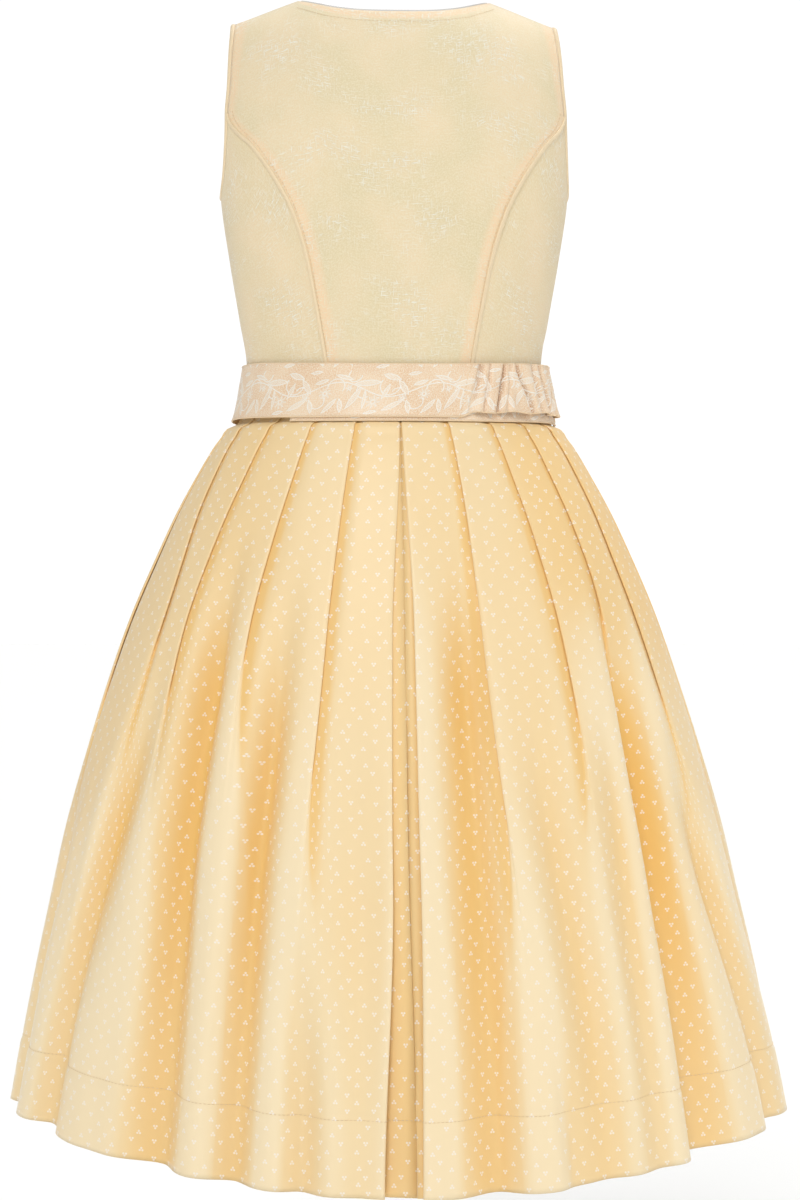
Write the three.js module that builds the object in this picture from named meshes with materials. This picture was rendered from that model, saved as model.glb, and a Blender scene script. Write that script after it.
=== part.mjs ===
// A girl's dirndl dress in its worn shape with no wearer, in millimetres.
// +Z is up, -Y is towards the back and +X is towards the wearer's right. The origin lies midway
// between the two shoulder seams, where the shoulders hold the dress up.
import * as THREE from 'three';

// Driving dimensions
const SEAM_GAP = 0.3;
const CLEAR = 0.3;
const BODICE_WALL = 1.2;
const SKIRT_WALL = 1.0;
const HEM_WALL = 1.6;
const APRON_WALL = 1.0;

const WAIST = -297;
const HEM_BACK = -840;
const HEM_SIDE = -820;
const HEM_DEPTH_SHARE = 0.91;

const NECK_HALF_WIDTH = 72;
const NECK_POINT = 9;
const TIP_HALF_WIDTH = 122.6;
const TIP = -9;
const BACK_NECK_DEPTH = 16;
const FRONT_NECK_DEPTH = 78;
const NECK_CURVE = 2.8;
const ARMHOLE_CORNER = -82;
const UNDERARM = -137;

const BAND_WALL = 1.2;
const UNDER_BAND_WALL = 1.0;
const BAND_TOP = -267;
const BAND_BOTTOM = -307;
const UNDER_BAND_SHOWS = 3;
const UNDER_BAND_TOP_BELOW = 4;
const UNDER_BAND_STARTS = -38;
const BAND_SEAM = 92;
const ELASTIC_RISE = 5;
const PIPING_RADIUS = 1.3;
const TRIM_HEIGHT = 2.6;
const TRIM_FOOT = 1.6;
const TRIM_WALL = 1.0;
const BINDING_WIDTH = 3.4;
const BINDING_THICKNESS = 2.8;
const PLACKET_WIDTH = 20;
const PLACKET_WALL = 1.0;
const BUTTON_RADIUS = 6;
const BUTTON_THICKNESS = 2.4;
const BUTTON_COUNT = 5;
const BUTTON_SIDES = 16;
const BUTTON_CLEAR = 0.45;
const FIRST_BUTTON_BELOW_NECK = 12;
const LAST_BUTTON_ABOVE_BAND = 14;

const DEGREE = Math.PI / 180;
const CORD_SIDES = 6;
const TRIM_ENDS_SHORT = 0.3;

// The least share of the mitre at a fold, so that a wall does not run out to a spike there
const MITRE_LIMIT = 0.62;

// Distances and shares within which two places are taken as one
const SAME_POINT = 0.5;
const ON_EDGE = 0.01;
const ON_SHARE = 0.001;
const COLOUR = { bodice: 0xf3e2b4, skirt: 0xf8dea2, band: 0xf4ddbf, trim: 0xfbf8f0, button: 0xf1e6cf };

// Sections of the bodice: half width, half depth and the exponent of the superellipse
const BODY = [
  { height: WAIST, halfWidth: 114, halfDepth: 86.5, square: 2.0 },
  { height: -266, halfWidth: 109.8, halfDepth: 84, square: 2.0 },
  { height: -230, halfWidth: 115.2, halfDepth: 87, square: 2.12 },
  { height: -188, halfWidth: 122.3, halfDepth: 91, square: 2.35 },
  { height: UNDERARM, halfWidth: 129.3, halfDepth: 94, square: 2.5 },
  { height: ARMHOLE_CORNER, halfWidth: 131.5, halfDepth: 93, square: 2.6 },
  { height: 30, halfWidth: 128, halfDepth: 88, square: 2.6 },
];

// How much of the full depth is reached below the shoulder line
const SHOULDER = [
  { drop: 0, share: 0 },
  { drop: 5, share: 0.16 },
  { drop: 14, share: 0.34 },
  { drop: 35, share: 0.58 },
  { drop: 70, share: 0.8 },
  { drop: 120, share: 0.95 },
  { drop: 170, share: 1 },
];

// The princess seam of the back from the waist to the armhole, and the bound armhole edge above it
const BACK_EDGE = [
  { height: WAIST, halfWidth: 49 },
  { height: -264, halfWidth: 53.5 },
  { height: -229, halfWidth: 59.6 },
  { height: -189, halfWidth: 67.6 },
  { height: -158, halfWidth: 77.5 },
  { height: -132, halfWidth: 91 },
  { height: -108, halfWidth: 107 },
  { height: ARMHOLE_CORNER, halfWidth: 128 },
  { height: -60, halfWidth: 126.2 },
  { height: -35, halfWidth: 124.8 },
  { height: TIP, halfWidth: TIP_HALF_WIDTH },
];

// The bound armhole edge of the front, above the underarm
const FRONT_EDGE = [
  { height: UNDERARM, halfWidth: 129.3 },
  { height: -132.5, halfWidth: 128.2 },
  { height: -126, halfWidth: 125.4 },
  { height: -114, halfWidth: 121 },
  { height: -95, halfWidth: 117.4 },
  { height: -75, halfWidth: 115.6 },
  { height: -42, halfWidth: 116.4 },
  { height: TIP, halfWidth: TIP_HALF_WIDTH },
];

// Middle of the band's layers, from its top edge down over the waist seam
const BAND = [
  { height: BAND_TOP, halfWidth: 111.9, halfDepth: 86.2 },
  { height: -280, halfWidth: 114, halfDepth: 87.5 },
  { height: WAIST, halfWidth: 116.2, halfDepth: 88.8 },
  { height: -313, halfWidth: 119.6, halfDepth: 92.2 },
];

// Half width of the skirt down its length, out to the edges of the pleats
const SKIRT = [
  { down: 0, halfWidth: 113.4 },
  { down: 0.029, halfWidth: 117.4 },
  { down: 0.05, halfWidth: 132 },
  { down: 0.1, halfWidth: 150 },
  { down: 0.15, halfWidth: 163.5 },
  { down: 0.2, halfWidth: 176 },
  { down: 0.3, halfWidth: 197 },
  { down: 0.4, halfWidth: 214.5 },
  { down: 0.5, halfWidth: 230.5 },
  { down: 0.6, halfWidth: 245 },
  { down: 0.7, halfWidth: 257 },
  { down: 0.8, halfWidth: 269 },
  { down: 0.9, halfWidth: 279.5 },
  { down: 1, halfWidth: 289 },
];
const WAIST_DEPTH = 85.5;
const HEM_DEPTH = 232;

// Gathering of the elastic stretch: waves across the band that run aslant, between two angles
const RUCHED = { from: 27, to: 88, ends: 4, waves: 7, slant: -0.9, height: 2.4 };

// The apron panel in front: half its angle round the skirt, its reach down the skirt, the gathers under
// the band, and how far it stands off the skirt's base section at the band and below it
const APRON = {
  half: 58,
  top: BAND_BOTTOM - 0.5,
  bottomShare: 0.955,
  columns: 65,
  clearAtBand: 4.6,
  clearBelow: 11,
  gathers: 16,
  gatherAtBand: 0.7,
  gatherBelow: 3,
  folds: 4,
  foldDepth: 4.5,
};
const APRON_ROWS = [0, 0.03, 0.08, 0.16, 0.28, 0.42, 0.58, 0.74, 0.88, 1];

// Knife pleats of each side, from the centre back to the centre front. Angles are in degrees from the
// centre back: at the waist, a third of the way down and at the hem. Where a fold stands on edge, a
// share of the length down, its overlap has run out and it starts to lie open.
const PLEATS_RIGHT = [
  { waist: 0.5, third: 2.4, hem: 4.4, stands: 2, lap: 18 },
  { waist: 16.6, third: 16.3, hem: 19.4, stands: 0.57, lap: 18 },
  { waist: 32.6, third: 34.8, hem: 33.5, stands: 0.44, lap: 18 },
  { waist: 48, third: 50, hem: 43.8, stands: 0.32, lap: 16 },
  { waist: 64.5, third: 62.5, hem: 75, stands: 0.44, lap: 17 },
  { waist: 84, third: 84, hem: 91, stands: 0.44, lap: 17 },
  { waist: 103, third: 103, hem: 106, stands: 0.57, lap: 17 },
  { waist: 121, third: 120, hem: 121, stands: 0.44, lap: 17 },
  { waist: 138.5, third: 137, hem: 136, stands: 0.57, lap: 18 },
  { waist: 156, third: 154, hem: 152, stands: 0.44, lap: 18 },
];
const PLEATS_LEFT = [
  { waist: 0.5, third: 2.4, hem: 3, stands: 2, lap: 18 },
  { waist: 15.4, third: 16.2, hem: 19.5, stands: 0.57, lap: 18 },
  { waist: 30.8, third: 33.6, hem: 31, stands: 0.44, lap: 18 },
  { waist: 48.3, third: 52, hem: 52.4, stands: 0.57, lap: 17 },
  { waist: 67, third: 60.8, hem: 72, stands: 0.44, lap: 16 },
  { waist: 84.5, third: 84, hem: 89, stands: 0.57, lap: 17 },
  { waist: 103, third: 102, hem: 105, stands: 0.44, lap: 17 },
  { waist: 121, third: 120, hem: 121, stands: 0.57, lap: 17 },
  { waist: 138.5, third: 138, hem: 137, stands: 0.44, lap: 18 },
  { waist: 156, third: 155, hem: 153, stands: 0.57, lap: 18 },
];

// Path of the cloth at each fold edge, from its turn under the fold to the edge: the share of the lap
// under it, the layers below the outer cloth, and the share of the way back to the last fold when open
const UNDER_FOLD = [
  { lap: 1, layers: 1.85, back: 0.32 },
  { lap: 1, layers: 1.15, back: 0.21 },
  { lap: 0, layers: 0.85, back: 0.08 },
  { lap: 0, layers: 0.1, back: 0 },
];

// Points on the cloth between two fold edges, as shares of the way while the next fold is closed or open
const ALONG = [
  { closed: 0.16, open: 0.12 },
  { closed: 0.42, open: 0.28 },
  { closed: 0.74, open: 0.45 },
];

// The last point of a pleat, where its cloth passes under the next edge
const TUCK = { nose: 1.2, layers: 1.9, openLayers: 1.3, openShare: 0.4 };
const PLEAT_PARTS = UNDER_FOLD.length + ALONG.length + 1;
const SIDE_SEAM_PLEAT = 5;
const SIDE_SEAM_PART = 6;

// Distance between the layers of cloth, and the shares of the length over which a fold's lap runs out
// before it stands on edge, lies open below and fades
const LAYER = { atWaist: 2.3, atThird: 3.4, atHem: 8.5 };
const LAP_RUNS_OUT = 0.24;
const OPENS_OVER = 0.12;
const FADES = { from: 0.06, to: 0.3 };

// Soft troughs of the lower skirt: angle where each begins and at the hem, where it begins and is full,
// its depth, and its widths in degrees on the side of the centre back and on the far side
const TROUGHS_RIGHT = [
  { from: 12.2, to: 11.6, begins: 0.3, full: 0.62, depth: 15, near: 4.5, far: 2.6 },
  { from: 21, to: 22.5, begins: 0.74, full: 0.98, depth: 5, near: 2, far: 3 },
  { from: 23.5, to: 29, begins: 0.44, full: 0.74, depth: 8, near: 3.4, far: 3.4 },
  { from: 49.5, to: 47.4, begins: 0.36, full: 0.66, depth: 22, near: 2.6, far: 7 },
  { from: 58, to: 70, begins: 0.5, full: 0.8, depth: 13, near: 5, far: 3 },
  { from: 79, to: 86, begins: 0.5, full: 0.8, depth: 12, near: 4, far: 3.4 },
  { from: 98, to: 101, begins: 0.55, full: 0.85, depth: 13, near: 4.5, far: 3.4 },
  { from: 115.5, to: 116, begins: 0.5, full: 0.8, depth: 14, near: 5, far: 3.4 },
  { from: 132, to: 131, begins: 0.55, full: 0.85, depth: 12, near: 4, far: 3.6 },
  { from: 149, to: 147, begins: 0.5, full: 0.82, depth: 14, near: 5, far: 3.4 },
  { from: 169, to: 166, begins: 0.55, full: 0.9, depth: 9, near: 5, far: 5 },
];
const TROUGHS_LEFT = [
  { from: 16.4, to: 16.2, begins: 0.7, full: 0.95, depth: 9, near: 2.6, far: 2.4 },
  { from: 25.6, to: 26.4, begins: 0.36, full: 0.62, depth: 14, near: 2.8, far: 3.2 },
  { from: 42.6, to: 39.4, begins: 0.24, full: 0.54, depth: 17, near: 3.6, far: 5 },
  { from: 57, to: 67.5, begins: 0.45, full: 0.7, depth: 15, near: 6, far: 2.6 },
  { from: 79, to: 84, begins: 0.55, full: 0.82, depth: 11, near: 4, far: 3.4 },
  { from: 97, to: 100, begins: 0.5, full: 0.8, depth: 13, near: 5, far: 3.4 },
  { from: 115, to: 116, begins: 0.55, full: 0.85, depth: 12, near: 4, far: 3.6 },
  { from: 133, to: 132, begins: 0.5, full: 0.8, depth: 14, near: 4.5, far: 3.4 },
  { from: 150, to: 148, begins: 0.55, full: 0.85, depth: 12, near: 4.5, far: 3.4 },
  { from: 168, to: 165, begins: 0.55, full: 0.9, depth: 10, near: 5, far: 5 },
];
const SKIRT_ROWS = [0, 0.029, 0.06, 0.12, 0.21, 0.32, 0.44, 0.57, 0.7, 0.81, 0.905, 0.925, 1];
const SLOPE_STEP = 0.02;
const THIRD = 0.3;
const BACK_PLEAT_OPENS = 0.4;

// Smooth monotone interpolation of one column of a table, in the order of its key
function follow(rows, key, column) {
  const sorted = [...rows].sort((a, b) => a[key] - b[key]);
  const x = sorted.map((row) => row[key]);
  const y = sorted.map((row) => row[column]);
  const slope = x.slice(1).map((v, i) => (y[i + 1] - y[i]) / (v - x[i]));
  const tangent = x.map((v, i) => {
    if (i === 0) return slope[0];
    if (i === x.length - 1) return slope[i - 1];
    if (slope[i - 1] * slope[i] <= 0) return 0;
    return (2 * slope[i - 1] * slope[i]) / (slope[i - 1] + slope[i]);
  });
  return (at) => {
    if (at <= x[0]) return y[0];
    if (at >= x[x.length - 1]) return y[y.length - 1];
    const i = x.findIndex((v, k) => at >= v && at < x[k + 1]);
    const span = x[i + 1] - x[i];
    const s = (at - x[i]) / span;
    return (
      y[i] * (1 + 2 * s) * (1 - s) ** 2 +
      tangent[i] * span * s * (1 - s) ** 2 +
      y[i + 1] * s ** 2 * (3 - 2 * s) +
      tangent[i + 1] * span * s ** 2 * (s - 1)
    );
  };
}

const mix = (a, b, share) => a + (b - a) * share;
const smooth = (from, to, at) => THREE.MathUtils.smoothstep(at, from, to);
const span = (count, from, to) => Array.from({ length: count }, (_, i) => mix(from, to, i / (count - 1)));
const power = (base, exponent) => Math.sign(base) * Math.abs(base) ** exponent;

const bodyWidth = follow(BODY, 'height', 'halfWidth');
const bodyDepth = follow(BODY, 'height', 'halfDepth');
const bodySquare = follow(BODY, 'height', 'square');
const shoulderShare = follow(SHOULDER, 'drop', 'share');
const backEdge = follow(BACK_EDGE, 'height', 'halfWidth');
const frontEdge = follow(FRONT_EDGE, 'height', 'halfWidth');
const bandWidth = follow(BAND, 'height', 'halfWidth');
const bandDepth = follow(BAND, 'height', 'halfDepth');
const skirtWidth = follow(SKIRT, 'down', 'halfWidth');

// Solids from grids of points

// A closed wall around a grid of {at, normal}: rows run upwards and columns run anticlockwise seen
// from above. The wall is half its thickness to each side of the grid.
function wallGeometry(grid, thicknessOfRow, ring = false) {
  const rows = grid.length;
  const columns = grid[0].length;
  const positions = [];
  for (const side of [0.5, -0.5]) {
    grid.forEach((row, r) => {
      row.forEach(({ at, normal }) => {
        const p = at.clone().addScaledVector(normal, side * thicknessOfRow(r));
        positions.push(p.x, p.y, p.z);
      });
    });
  }
  const outer = (r, c) => r * columns + (c % columns);
  const inner = (r, c) => rows * columns + outer(r, c);
  const triangles = [];
  const quad = (a, b, c, d) => triangles.push(a, b, c, a, c, d);
  const steps = ring ? columns : columns - 1;
  for (let r = 0; r < rows - 1; r += 1) {
    for (let c = 0; c < steps; c += 1) {
      quad(outer(r, c), outer(r, c + 1), outer(r + 1, c + 1), outer(r + 1, c));
      quad(inner(r, c), inner(r + 1, c), inner(r + 1, c + 1), inner(r, c + 1));
    }
  }
  for (let c = 0; c < steps; c += 1) {
    quad(outer(0, c), inner(0, c), inner(0, c + 1), outer(0, c + 1));
    quad(outer(rows - 1, c), outer(rows - 1, c + 1), inner(rows - 1, c + 1), inner(rows - 1, c));
  }
  if (!ring) {
    const end = columns - 1;
    for (let r = 0; r < rows - 1; r += 1) {
      quad(outer(r, 0), outer(r + 1, 0), inner(r + 1, 0), inner(r, 0));
      quad(outer(r, end), inner(r, end), inner(r + 1, end), outer(r + 1, end));
    }
  }
  const geometry = new THREE.BufferGeometry();
  geometry.setAttribute('position', new THREE.Float32BufferAttribute(positions, 3));
  geometry.setIndex(triangles);
  geometry.computeVertexNormals();
  return geometry;
}

// Normals of a grid from its own faces
function withGridNormals(points) {
  const rows = points.length;
  const columns = points[0].length;
  const face = (r, c) => {
    const rise = points[r + 1][c + 1].clone().sub(points[r][c]);
    return rise.cross(points[r + 1][c].clone().sub(points[r][c + 1])).normalize();
  };
  return points.map((row, r) => row.map((at, c) => {
    const normal = new THREE.Vector3();
    for (const fr of [r - 1, r].filter((v) => v >= 0 && v < rows - 1)) {
      for (const fc of [c - 1, c].filter((v) => v >= 0 && v < columns - 1)) normal.add(face(fr, fc));
    }
    return { at, normal: normal.normalize() };
  }));
}

// Level normals of a section that runs round anticlockwise, longer at folds and on a slope so that
// the wall keeps its thickness there
function withLevelNormals(section, slope) {
  const last = section.length - 1;
  const side = (i) => {
    const way = section[i + 1].clone().sub(section[i]);
    return new THREE.Vector3(way.y, -way.x, 0).normalize();
  };
  return section.map((at, i) => {
    const before = side(Math.max(i - 1, 0));
    const after = side(Math.min(i, last - 1));
    const normal = before.clone().add(after).normalize();
    const facing = Math.max(normal.dot(after), MITRE_LIMIT);
    return { at, normal: normal.multiplyScalar(slope / facing) };
  });
}

// Moves the edge rows or columns of a grid in by half a seam gap
function parted(grid, edges) {
  const rows = grid.length;
  const columns = grid[0].length;
  const pull = (cell, towards) => {
    const way = towards.at.clone().sub(cell.at).normalize();
    return { at: cell.at.clone().addScaledVector(way, SEAM_GAP / 2), normal: cell.normal };
  };
  return grid.map((row, r) => row.map((cell, c) => {
    let moved = cell;
    if (edges.includes('first') && c === 0) moved = pull(moved, row[1]);
    if (edges.includes('last') && c === columns - 1) moved = pull(moved, row[columns - 2]);
    if (edges.includes('bottom') && r === 0) moved = pull(moved, grid[1][c]);
    if (edges.includes('top') && r === rows - 1) moved = pull(moved, grid[rows - 2][c]);
    return moved;
  }));
}

// A closed solid around a path: each section is a list of [out, up] in the frame of that path point
function sweptGeometry(path, section, ring) {
  const count = section.length;
  const positions = [];
  path.forEach(({ at, normal, up }) => {
    section.forEach(([out, rise]) => {
      const p = at.clone().addScaledVector(normal, out).addScaledVector(up, rise);
      positions.push(p.x, p.y, p.z);
    });
  });
  const index = (i, k) => (i % path.length) * count + (k % count);
  const triangles = [];
  for (let i = 0; i < (ring ? path.length : path.length - 1); i += 1) {
    for (let k = 0; k < count; k += 1) {
      triangles.push(index(i, k), index(i, k + 1), index(i + 1, k + 1));
      triangles.push(index(i, k), index(i + 1, k + 1), index(i + 1, k));
    }
  }
  if (!ring) {
    const end = path.length - 1;
    for (let k = 1; k < count - 1; k += 1) {
      triangles.push(index(0, 0), index(0, k + 1), index(0, k));
      triangles.push(index(end, 0), index(end, k), index(end, k + 1));
    }
  }
  const geometry = new THREE.BufferGeometry();
  geometry.setAttribute('position', new THREE.Float32BufferAttribute(positions, 3));
  geometry.setIndex(triangles);
  geometry.computeVertexNormals();
  return geometry;
}

// Bodice

function shoulderLine(x) {
  const fall = (NECK_POINT - TIP) / (TIP_HALF_WIDTH - NECK_HALF_WIDTH);
  const past = Math.abs(x) - NECK_HALF_WIDTH;
  if (past >= 0) return NECK_POINT - past * fall;
  return NECK_POINT + (fall * NECK_HALF_WIDTH * (1 - (x / NECK_HALF_WIDTH) ** 2)) / 2;
}

function bodyPoint(angle, height) {
  const exponent = 2 / bodySquare(height);
  const x = bodyWidth(height) * power(Math.sin(angle), exponent);
  const depth = bodyDepth(height) * shoulderShare(shoulderLine(x) - height);
  return new THREE.Vector3(x, -depth * power(Math.cos(angle), exponent), height);
}

// A point of the bodice and the way out of it, from points close beside it
function onBody(angle, height) {
  const turn = 0.004;
  const drop = 0.25;
  const at = bodyPoint(angle, height);
  const around = bodyPoint(angle + turn, height).sub(bodyPoint(angle - turn, height));
  const lower = Math.min(height - drop, shoulderLine(at.x) - 2 * drop);
  const rise = bodyPoint(angle, lower + drop).sub(bodyPoint(angle, lower - drop));
  return { at, normal: around.cross(rise).normalize() };
}

// The angle from the centre back at which the bodice is that far from the middle plane
function angleAt(halfWidth, height, front = false) {
  const share = Math.min(1, halfWidth / bodyWidth(height)) ** (bodySquare(height) / 2);
  const angle = Math.asin(share);
  return front ? Math.PI - angle : angle;
}

function neckline(x, depth) {
  return NECK_POINT - depth * (1 - Math.abs(x / NECK_HALF_WIDTH) ** NECK_CURVE);
}

function topEdge(x, neckDepth) {
  return Math.abs(x) >= NECK_HALF_WIDTH - ON_EDGE ? shoulderLine(x) : neckline(x, neckDepth);
}

// The shoulder seam lies in the plane Y = 0, and both walls end square to it
function flattenShoulder(cell) {
  const normal = new THREE.Vector3(cell.normal.x, 0, cell.normal.z).normalize();
  return { at: new THREE.Vector3(cell.at.x, 0, cell.at.z), normal };
}

const NECK_CORNER = NECK_HALF_WIDTH / TIP_HALF_WIDTH;
const PLACKET_EDGE = PLACKET_WIDTH / 2 / TIP_HALF_WIDTH;
const HALF_COLUMNS = [0, PLACKET_EDGE, 0.2, 0.3, 0.39, 0.47, 0.53, NECK_CORNER, 0.72, 0.87, 1];
const SIDE_COLUMNS = [0, 0.12, 0.35, 0.65, 1];
const ARMHOLE_SHARE = (ARMHOLE_CORNER - WAIST) / (TIP - WAIST);
const UNDERARM_SHARE = (UNDERARM - WAIST) / (TIP - WAIST);
const BACK_SHARES = [...span(8, 0, ARMHOLE_SHARE), 0.81, 0.87, 0.92, 0.96, 0.985, 1];
const FRONT_SHARES_BELOW = [0, 0.07, 0.135, 0.26, 0.4, UNDERARM_SHARE];
const FRONT_SHARES_ABOVE = [0.572, 0.594, 0.635, 0.7, 0.78, 0.86, 0.93, 0.975, 1];
const FRONT_SHARES = [...FRONT_SHARES_BELOW, ...FRONT_SHARES_ABOVE];
const ABOVE_BAND_ROW = 2;

// The panels end short of the armhole's edge to leave room for its binding: back and side back over the
// last stretch of the princess seam, and the front over a stretch above the underarm
const SET_BACK = SEAM_GAP + BINDING_WIDTH;
const BACK_STRETCH = { from: ARMHOLE_CORNER - 20, to: ARMHOLE_CORNER - 2 };
const FRONT_STRETCH = { from: UNDERARM, to: UNDERARM + 32 };
const FRONT_LOWERED_FROM = UNDERARM - 40;
const SIDE_LOWERED_OVER = 0.35;

const backBound = (height) => smooth(BACK_STRETCH.from, BACK_STRETCH.to, height);
const frontBound = (height) => smooth(FRONT_STRETCH.from, FRONT_STRETCH.to, height);

function panelCell(u, share, edge, neckDepth, front) {
  const side = mix(WAIST, TIP, share);
  const outer = smooth(NECK_CORNER, 1, Math.abs(u));
  const bound = front ? frontBound(side) : backBound(side);
  const x = Math.abs(u) * edge(side) - SET_BACK * bound * outer;
  const lowered = front ? SET_BACK * (1 - bound) * smooth(FRONT_LOWERED_FROM, UNDERARM, side) * outer : 0;
  const height = mix(WAIST, topEdge(Math.abs(u) * TIP_HALF_WIDTH, neckDepth), share) - lowered;
  const onSideSeam = front && Math.abs(u) === 1 && side <= UNDERARM + ON_EDGE;
  const angle = onSideSeam ? Math.PI / 2 : angleAt(x, height, front);
  const cell = onBody(u < 0 ? -angle : angle, height);
  const onShoulder = share === 1 && Math.abs(u) >= NECK_CORNER - ON_SHARE;
  return onShoulder ? flattenShoulder(cell) : cell;
}

function backCentreGrid() {
  const columns = [...HALF_COLUMNS.slice(1).reverse().map((u) => -u), ...HALF_COLUMNS];
  return BACK_SHARES.map((share) => columns.map((u) => (
    panelCell(u, share, backEdge, BACK_NECK_DEPTH, false)
  )));
}

// Height of the armhole edge between the princess seam or front edge and the underarm
function armholeHeight(share) {
  return UNDERARM + (ARMHOLE_CORNER - UNDERARM) * (1 - Math.sqrt(1 - (1 - share) ** 2));
}

function backSideGrid(sign) {
  const grid = BACK_SHARES.filter((share) => share <= ARMHOLE_SHARE + ON_SHARE).map((share) => {
    const side = mix(WAIST, TIP, share);
    const seam = angleAt(backEdge(side) - SET_BACK * backBound(side), side);
    return SIDE_COLUMNS.map((u) => {
      const top = armholeHeight(u) - SET_BACK * smooth(0, SIDE_LOWERED_OVER, u);
      const height = mix(WAIST, top, share / ARMHOLE_SHARE);
      return onBody(sign * mix(seam, Math.PI / 2, u), height);
    });
  });
  return sign > 0 ? grid : grid.map((row) => [...row].reverse());
}

function frontGrid(sign) {
  const edge = (height) => (height < UNDERARM ? bodyWidth(height) : frontEdge(height));
  const grid = FRONT_SHARES.map((share) => HALF_COLUMNS.map((u) => (
    panelCell(sign * u, share, edge, FRONT_NECK_DEPTH, true)
  )));
  return sign > 0 ? grid.map((row) => [...row].reverse()) : grid;
}

// Cord piping on the princess seams of the back, made from the seam's points moved out
function princessPiping(sign) {
  const lift = BODICE_WALL / 2 + CLEAR + PIPING_RADIUS;
  const path = backSideGrid(sign).slice(1).map((row) => {
    const { at, normal } = sign > 0 ? row[0] : row[row.length - 1];
    return { at: at.clone().addScaledVector(normal, lift), normal };
  });
  return alongPath(path, round(PIPING_RADIUS, CORD_SIDES));
}

function round(radius, sides) {
  const turns = span(sides + 1, 0, 2 * Math.PI).slice(0, sides);
  return turns.map((turn) => [radius * Math.cos(turn), radius * Math.sin(turn)]);
}

// Gives each path point an up direction square to the path and to its normal
function alongPath(path, section, ring = false) {
  const framed = path.map((cell, i) => {
    const last = path.length - 1;
    const before = path[ring ? (i + last) % path.length : Math.max(i - 1, 0)].at;
    const after = path[ring ? (i + 1) % path.length : Math.min(i + 1, last)].at;
    const along = after.clone().sub(before).normalize();
    const up = along.clone().cross(cell.normal).normalize();
    const normal = up.clone().cross(along).normalize();
    return { at: cell.at, normal, up };
  });
  return sweptGeometry(framed, section, ring);
}

// A binding round one armhole, made from the edge points of its three panels moved out over their edge
function armholeBinding(sign) {
  const last = (row) => (sign > 0 ? row[row.length - 1] : row[0]);
  const far = (row) => (sign > 0 ? row[0] : row[row.length - 1]);
  const under = backSideGrid(sign).at(-1);
  const fromUnderarm = sign > 0 ? [...under].reverse() : under;
  const up = backCentreGrid().filter((_, r) => BACK_SHARES[r] > ARMHOLE_SHARE + ON_SHARE).map(last);
  const onArmhole = (_, r) => FRONT_SHARES[r] > UNDERARM_SHARE + ON_SHARE && FRONT_SHARES[r] < 1;
  const down = frontGrid(sign).filter(onArmhole).map(far);
  const edge = [...fromUnderarm, ...up, ...down.reverse()];
  const path = edge.map((cell, i) => {
    const before = edge[(i + edge.length - 1) % edge.length].at;
    const after = edge[(i + 1) % edge.length].at;
    const along = after.clone().sub(before).normalize();
    const inwards = along.clone().cross(cell.normal).normalize().multiplyScalar(sign);
    const at = cell.at.clone().addScaledVector(inwards, SEAM_GAP + BINDING_WIDTH / 2);
    return { at, normal: cell.normal };
  });
  const section = round(0.5, CORD_SIDES).map(([out, rise]) => (
    [out * BINDING_THICKNESS, rise * BINDING_WIDTH]
  ));
  return alongPath(path, section, true);
}

// The picot edging stands up behind the neck edge, made from the panels' top points moved in
function neckTrim(grids) {
  const inside = -(BODICE_WALL / 2 + CLEAR + TRIM_WALL / 2);
  const columns = grids.flatMap((grid) => {
    const top = grid[grid.length - 1];
    const below = grid[grid.length - 2];
    return top.map(({ at, normal }, i) => ({ at, normal, rise: at.clone().sub(below[i].at).normalize() }));
  });
  const neck = columns.filter(({ at }, i) => (
    Math.abs(at.x) < NECK_HALF_WIDTH + SAME_POINT
    && (i === 0 || at.distanceTo(columns[i - 1].at) > SAME_POINT)
  ));
  neck[0] = shortOf(neck[0], neck[1]);
  neck[neck.length - 1] = shortOf(neck[neck.length - 1], neck[neck.length - 2]);
  const row = (height) => neck.map(({ at, normal, rise }) => (
    { at: at.clone().addScaledVector(rise, height).addScaledVector(normal, inside), normal }
  ));
  return wallGeometry([row(-TRIM_FOOT), row(TRIM_HEIGHT)], () => TRIM_WALL);
}

// The trim ends a little before the shoulder seam
function shortOf(end, next) {
  const blend = (key) => end[key].clone().lerp(next[key], TRIM_ENDS_SHORT);
  return { at: blend('at'), normal: blend('normal').normalize(), rise: blend('rise').normalize() };
}

// The button strip down the centre front, made from the panels' points moved out
function placket() {
  const lift = BODICE_WALL / 2 + CLEAR + PLACKET_WALL / 2;
  const right = frontGrid(1).slice(ABOVE_BAND_ROW);
  const left = frontGrid(-1).slice(ABOVE_BAND_ROW);
  const grid = right.map((row, r) => [...row.slice(-2), left[r][1]].map(({ at, normal }) => (
    { at: at.clone().addScaledVector(normal, lift), normal }
  )));
  return wallGeometry(parted(grid, ['top']), () => PLACKET_WALL);
}

// Places down the middle of the button strip, each between two of its points
function buttonPlaces() {
  const centre = frontGrid(-1).map((row) => row[0].at);
  const first = centre[centre.length - 1].z - FIRST_BUTTON_BELOW_NECK;
  const last = BAND_TOP + LAST_BUTTON_ABOVE_BAND;
  const lift = BODICE_WALL / 2 + CLEAR + PLACKET_WALL + BUTTON_CLEAR + BUTTON_THICKNESS / 2;
  return span(BUTTON_COUNT, first, last).map((height) => {
    const r = centre.findIndex((at, i) => at.z <= height && centre[i + 1].z > height);
    const along = centre[r + 1].clone().sub(centre[r]);
    const at = centre[r].clone().addScaledVector(along, (height - centre[r].z) / along.z);
    const normal = along.normalize().cross(new THREE.Vector3(1, 0, 0)).negate();
    return { at: at.addScaledVector(normal, lift * Math.sign(normal.y)), normal };
  });
}

// Skirt

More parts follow.
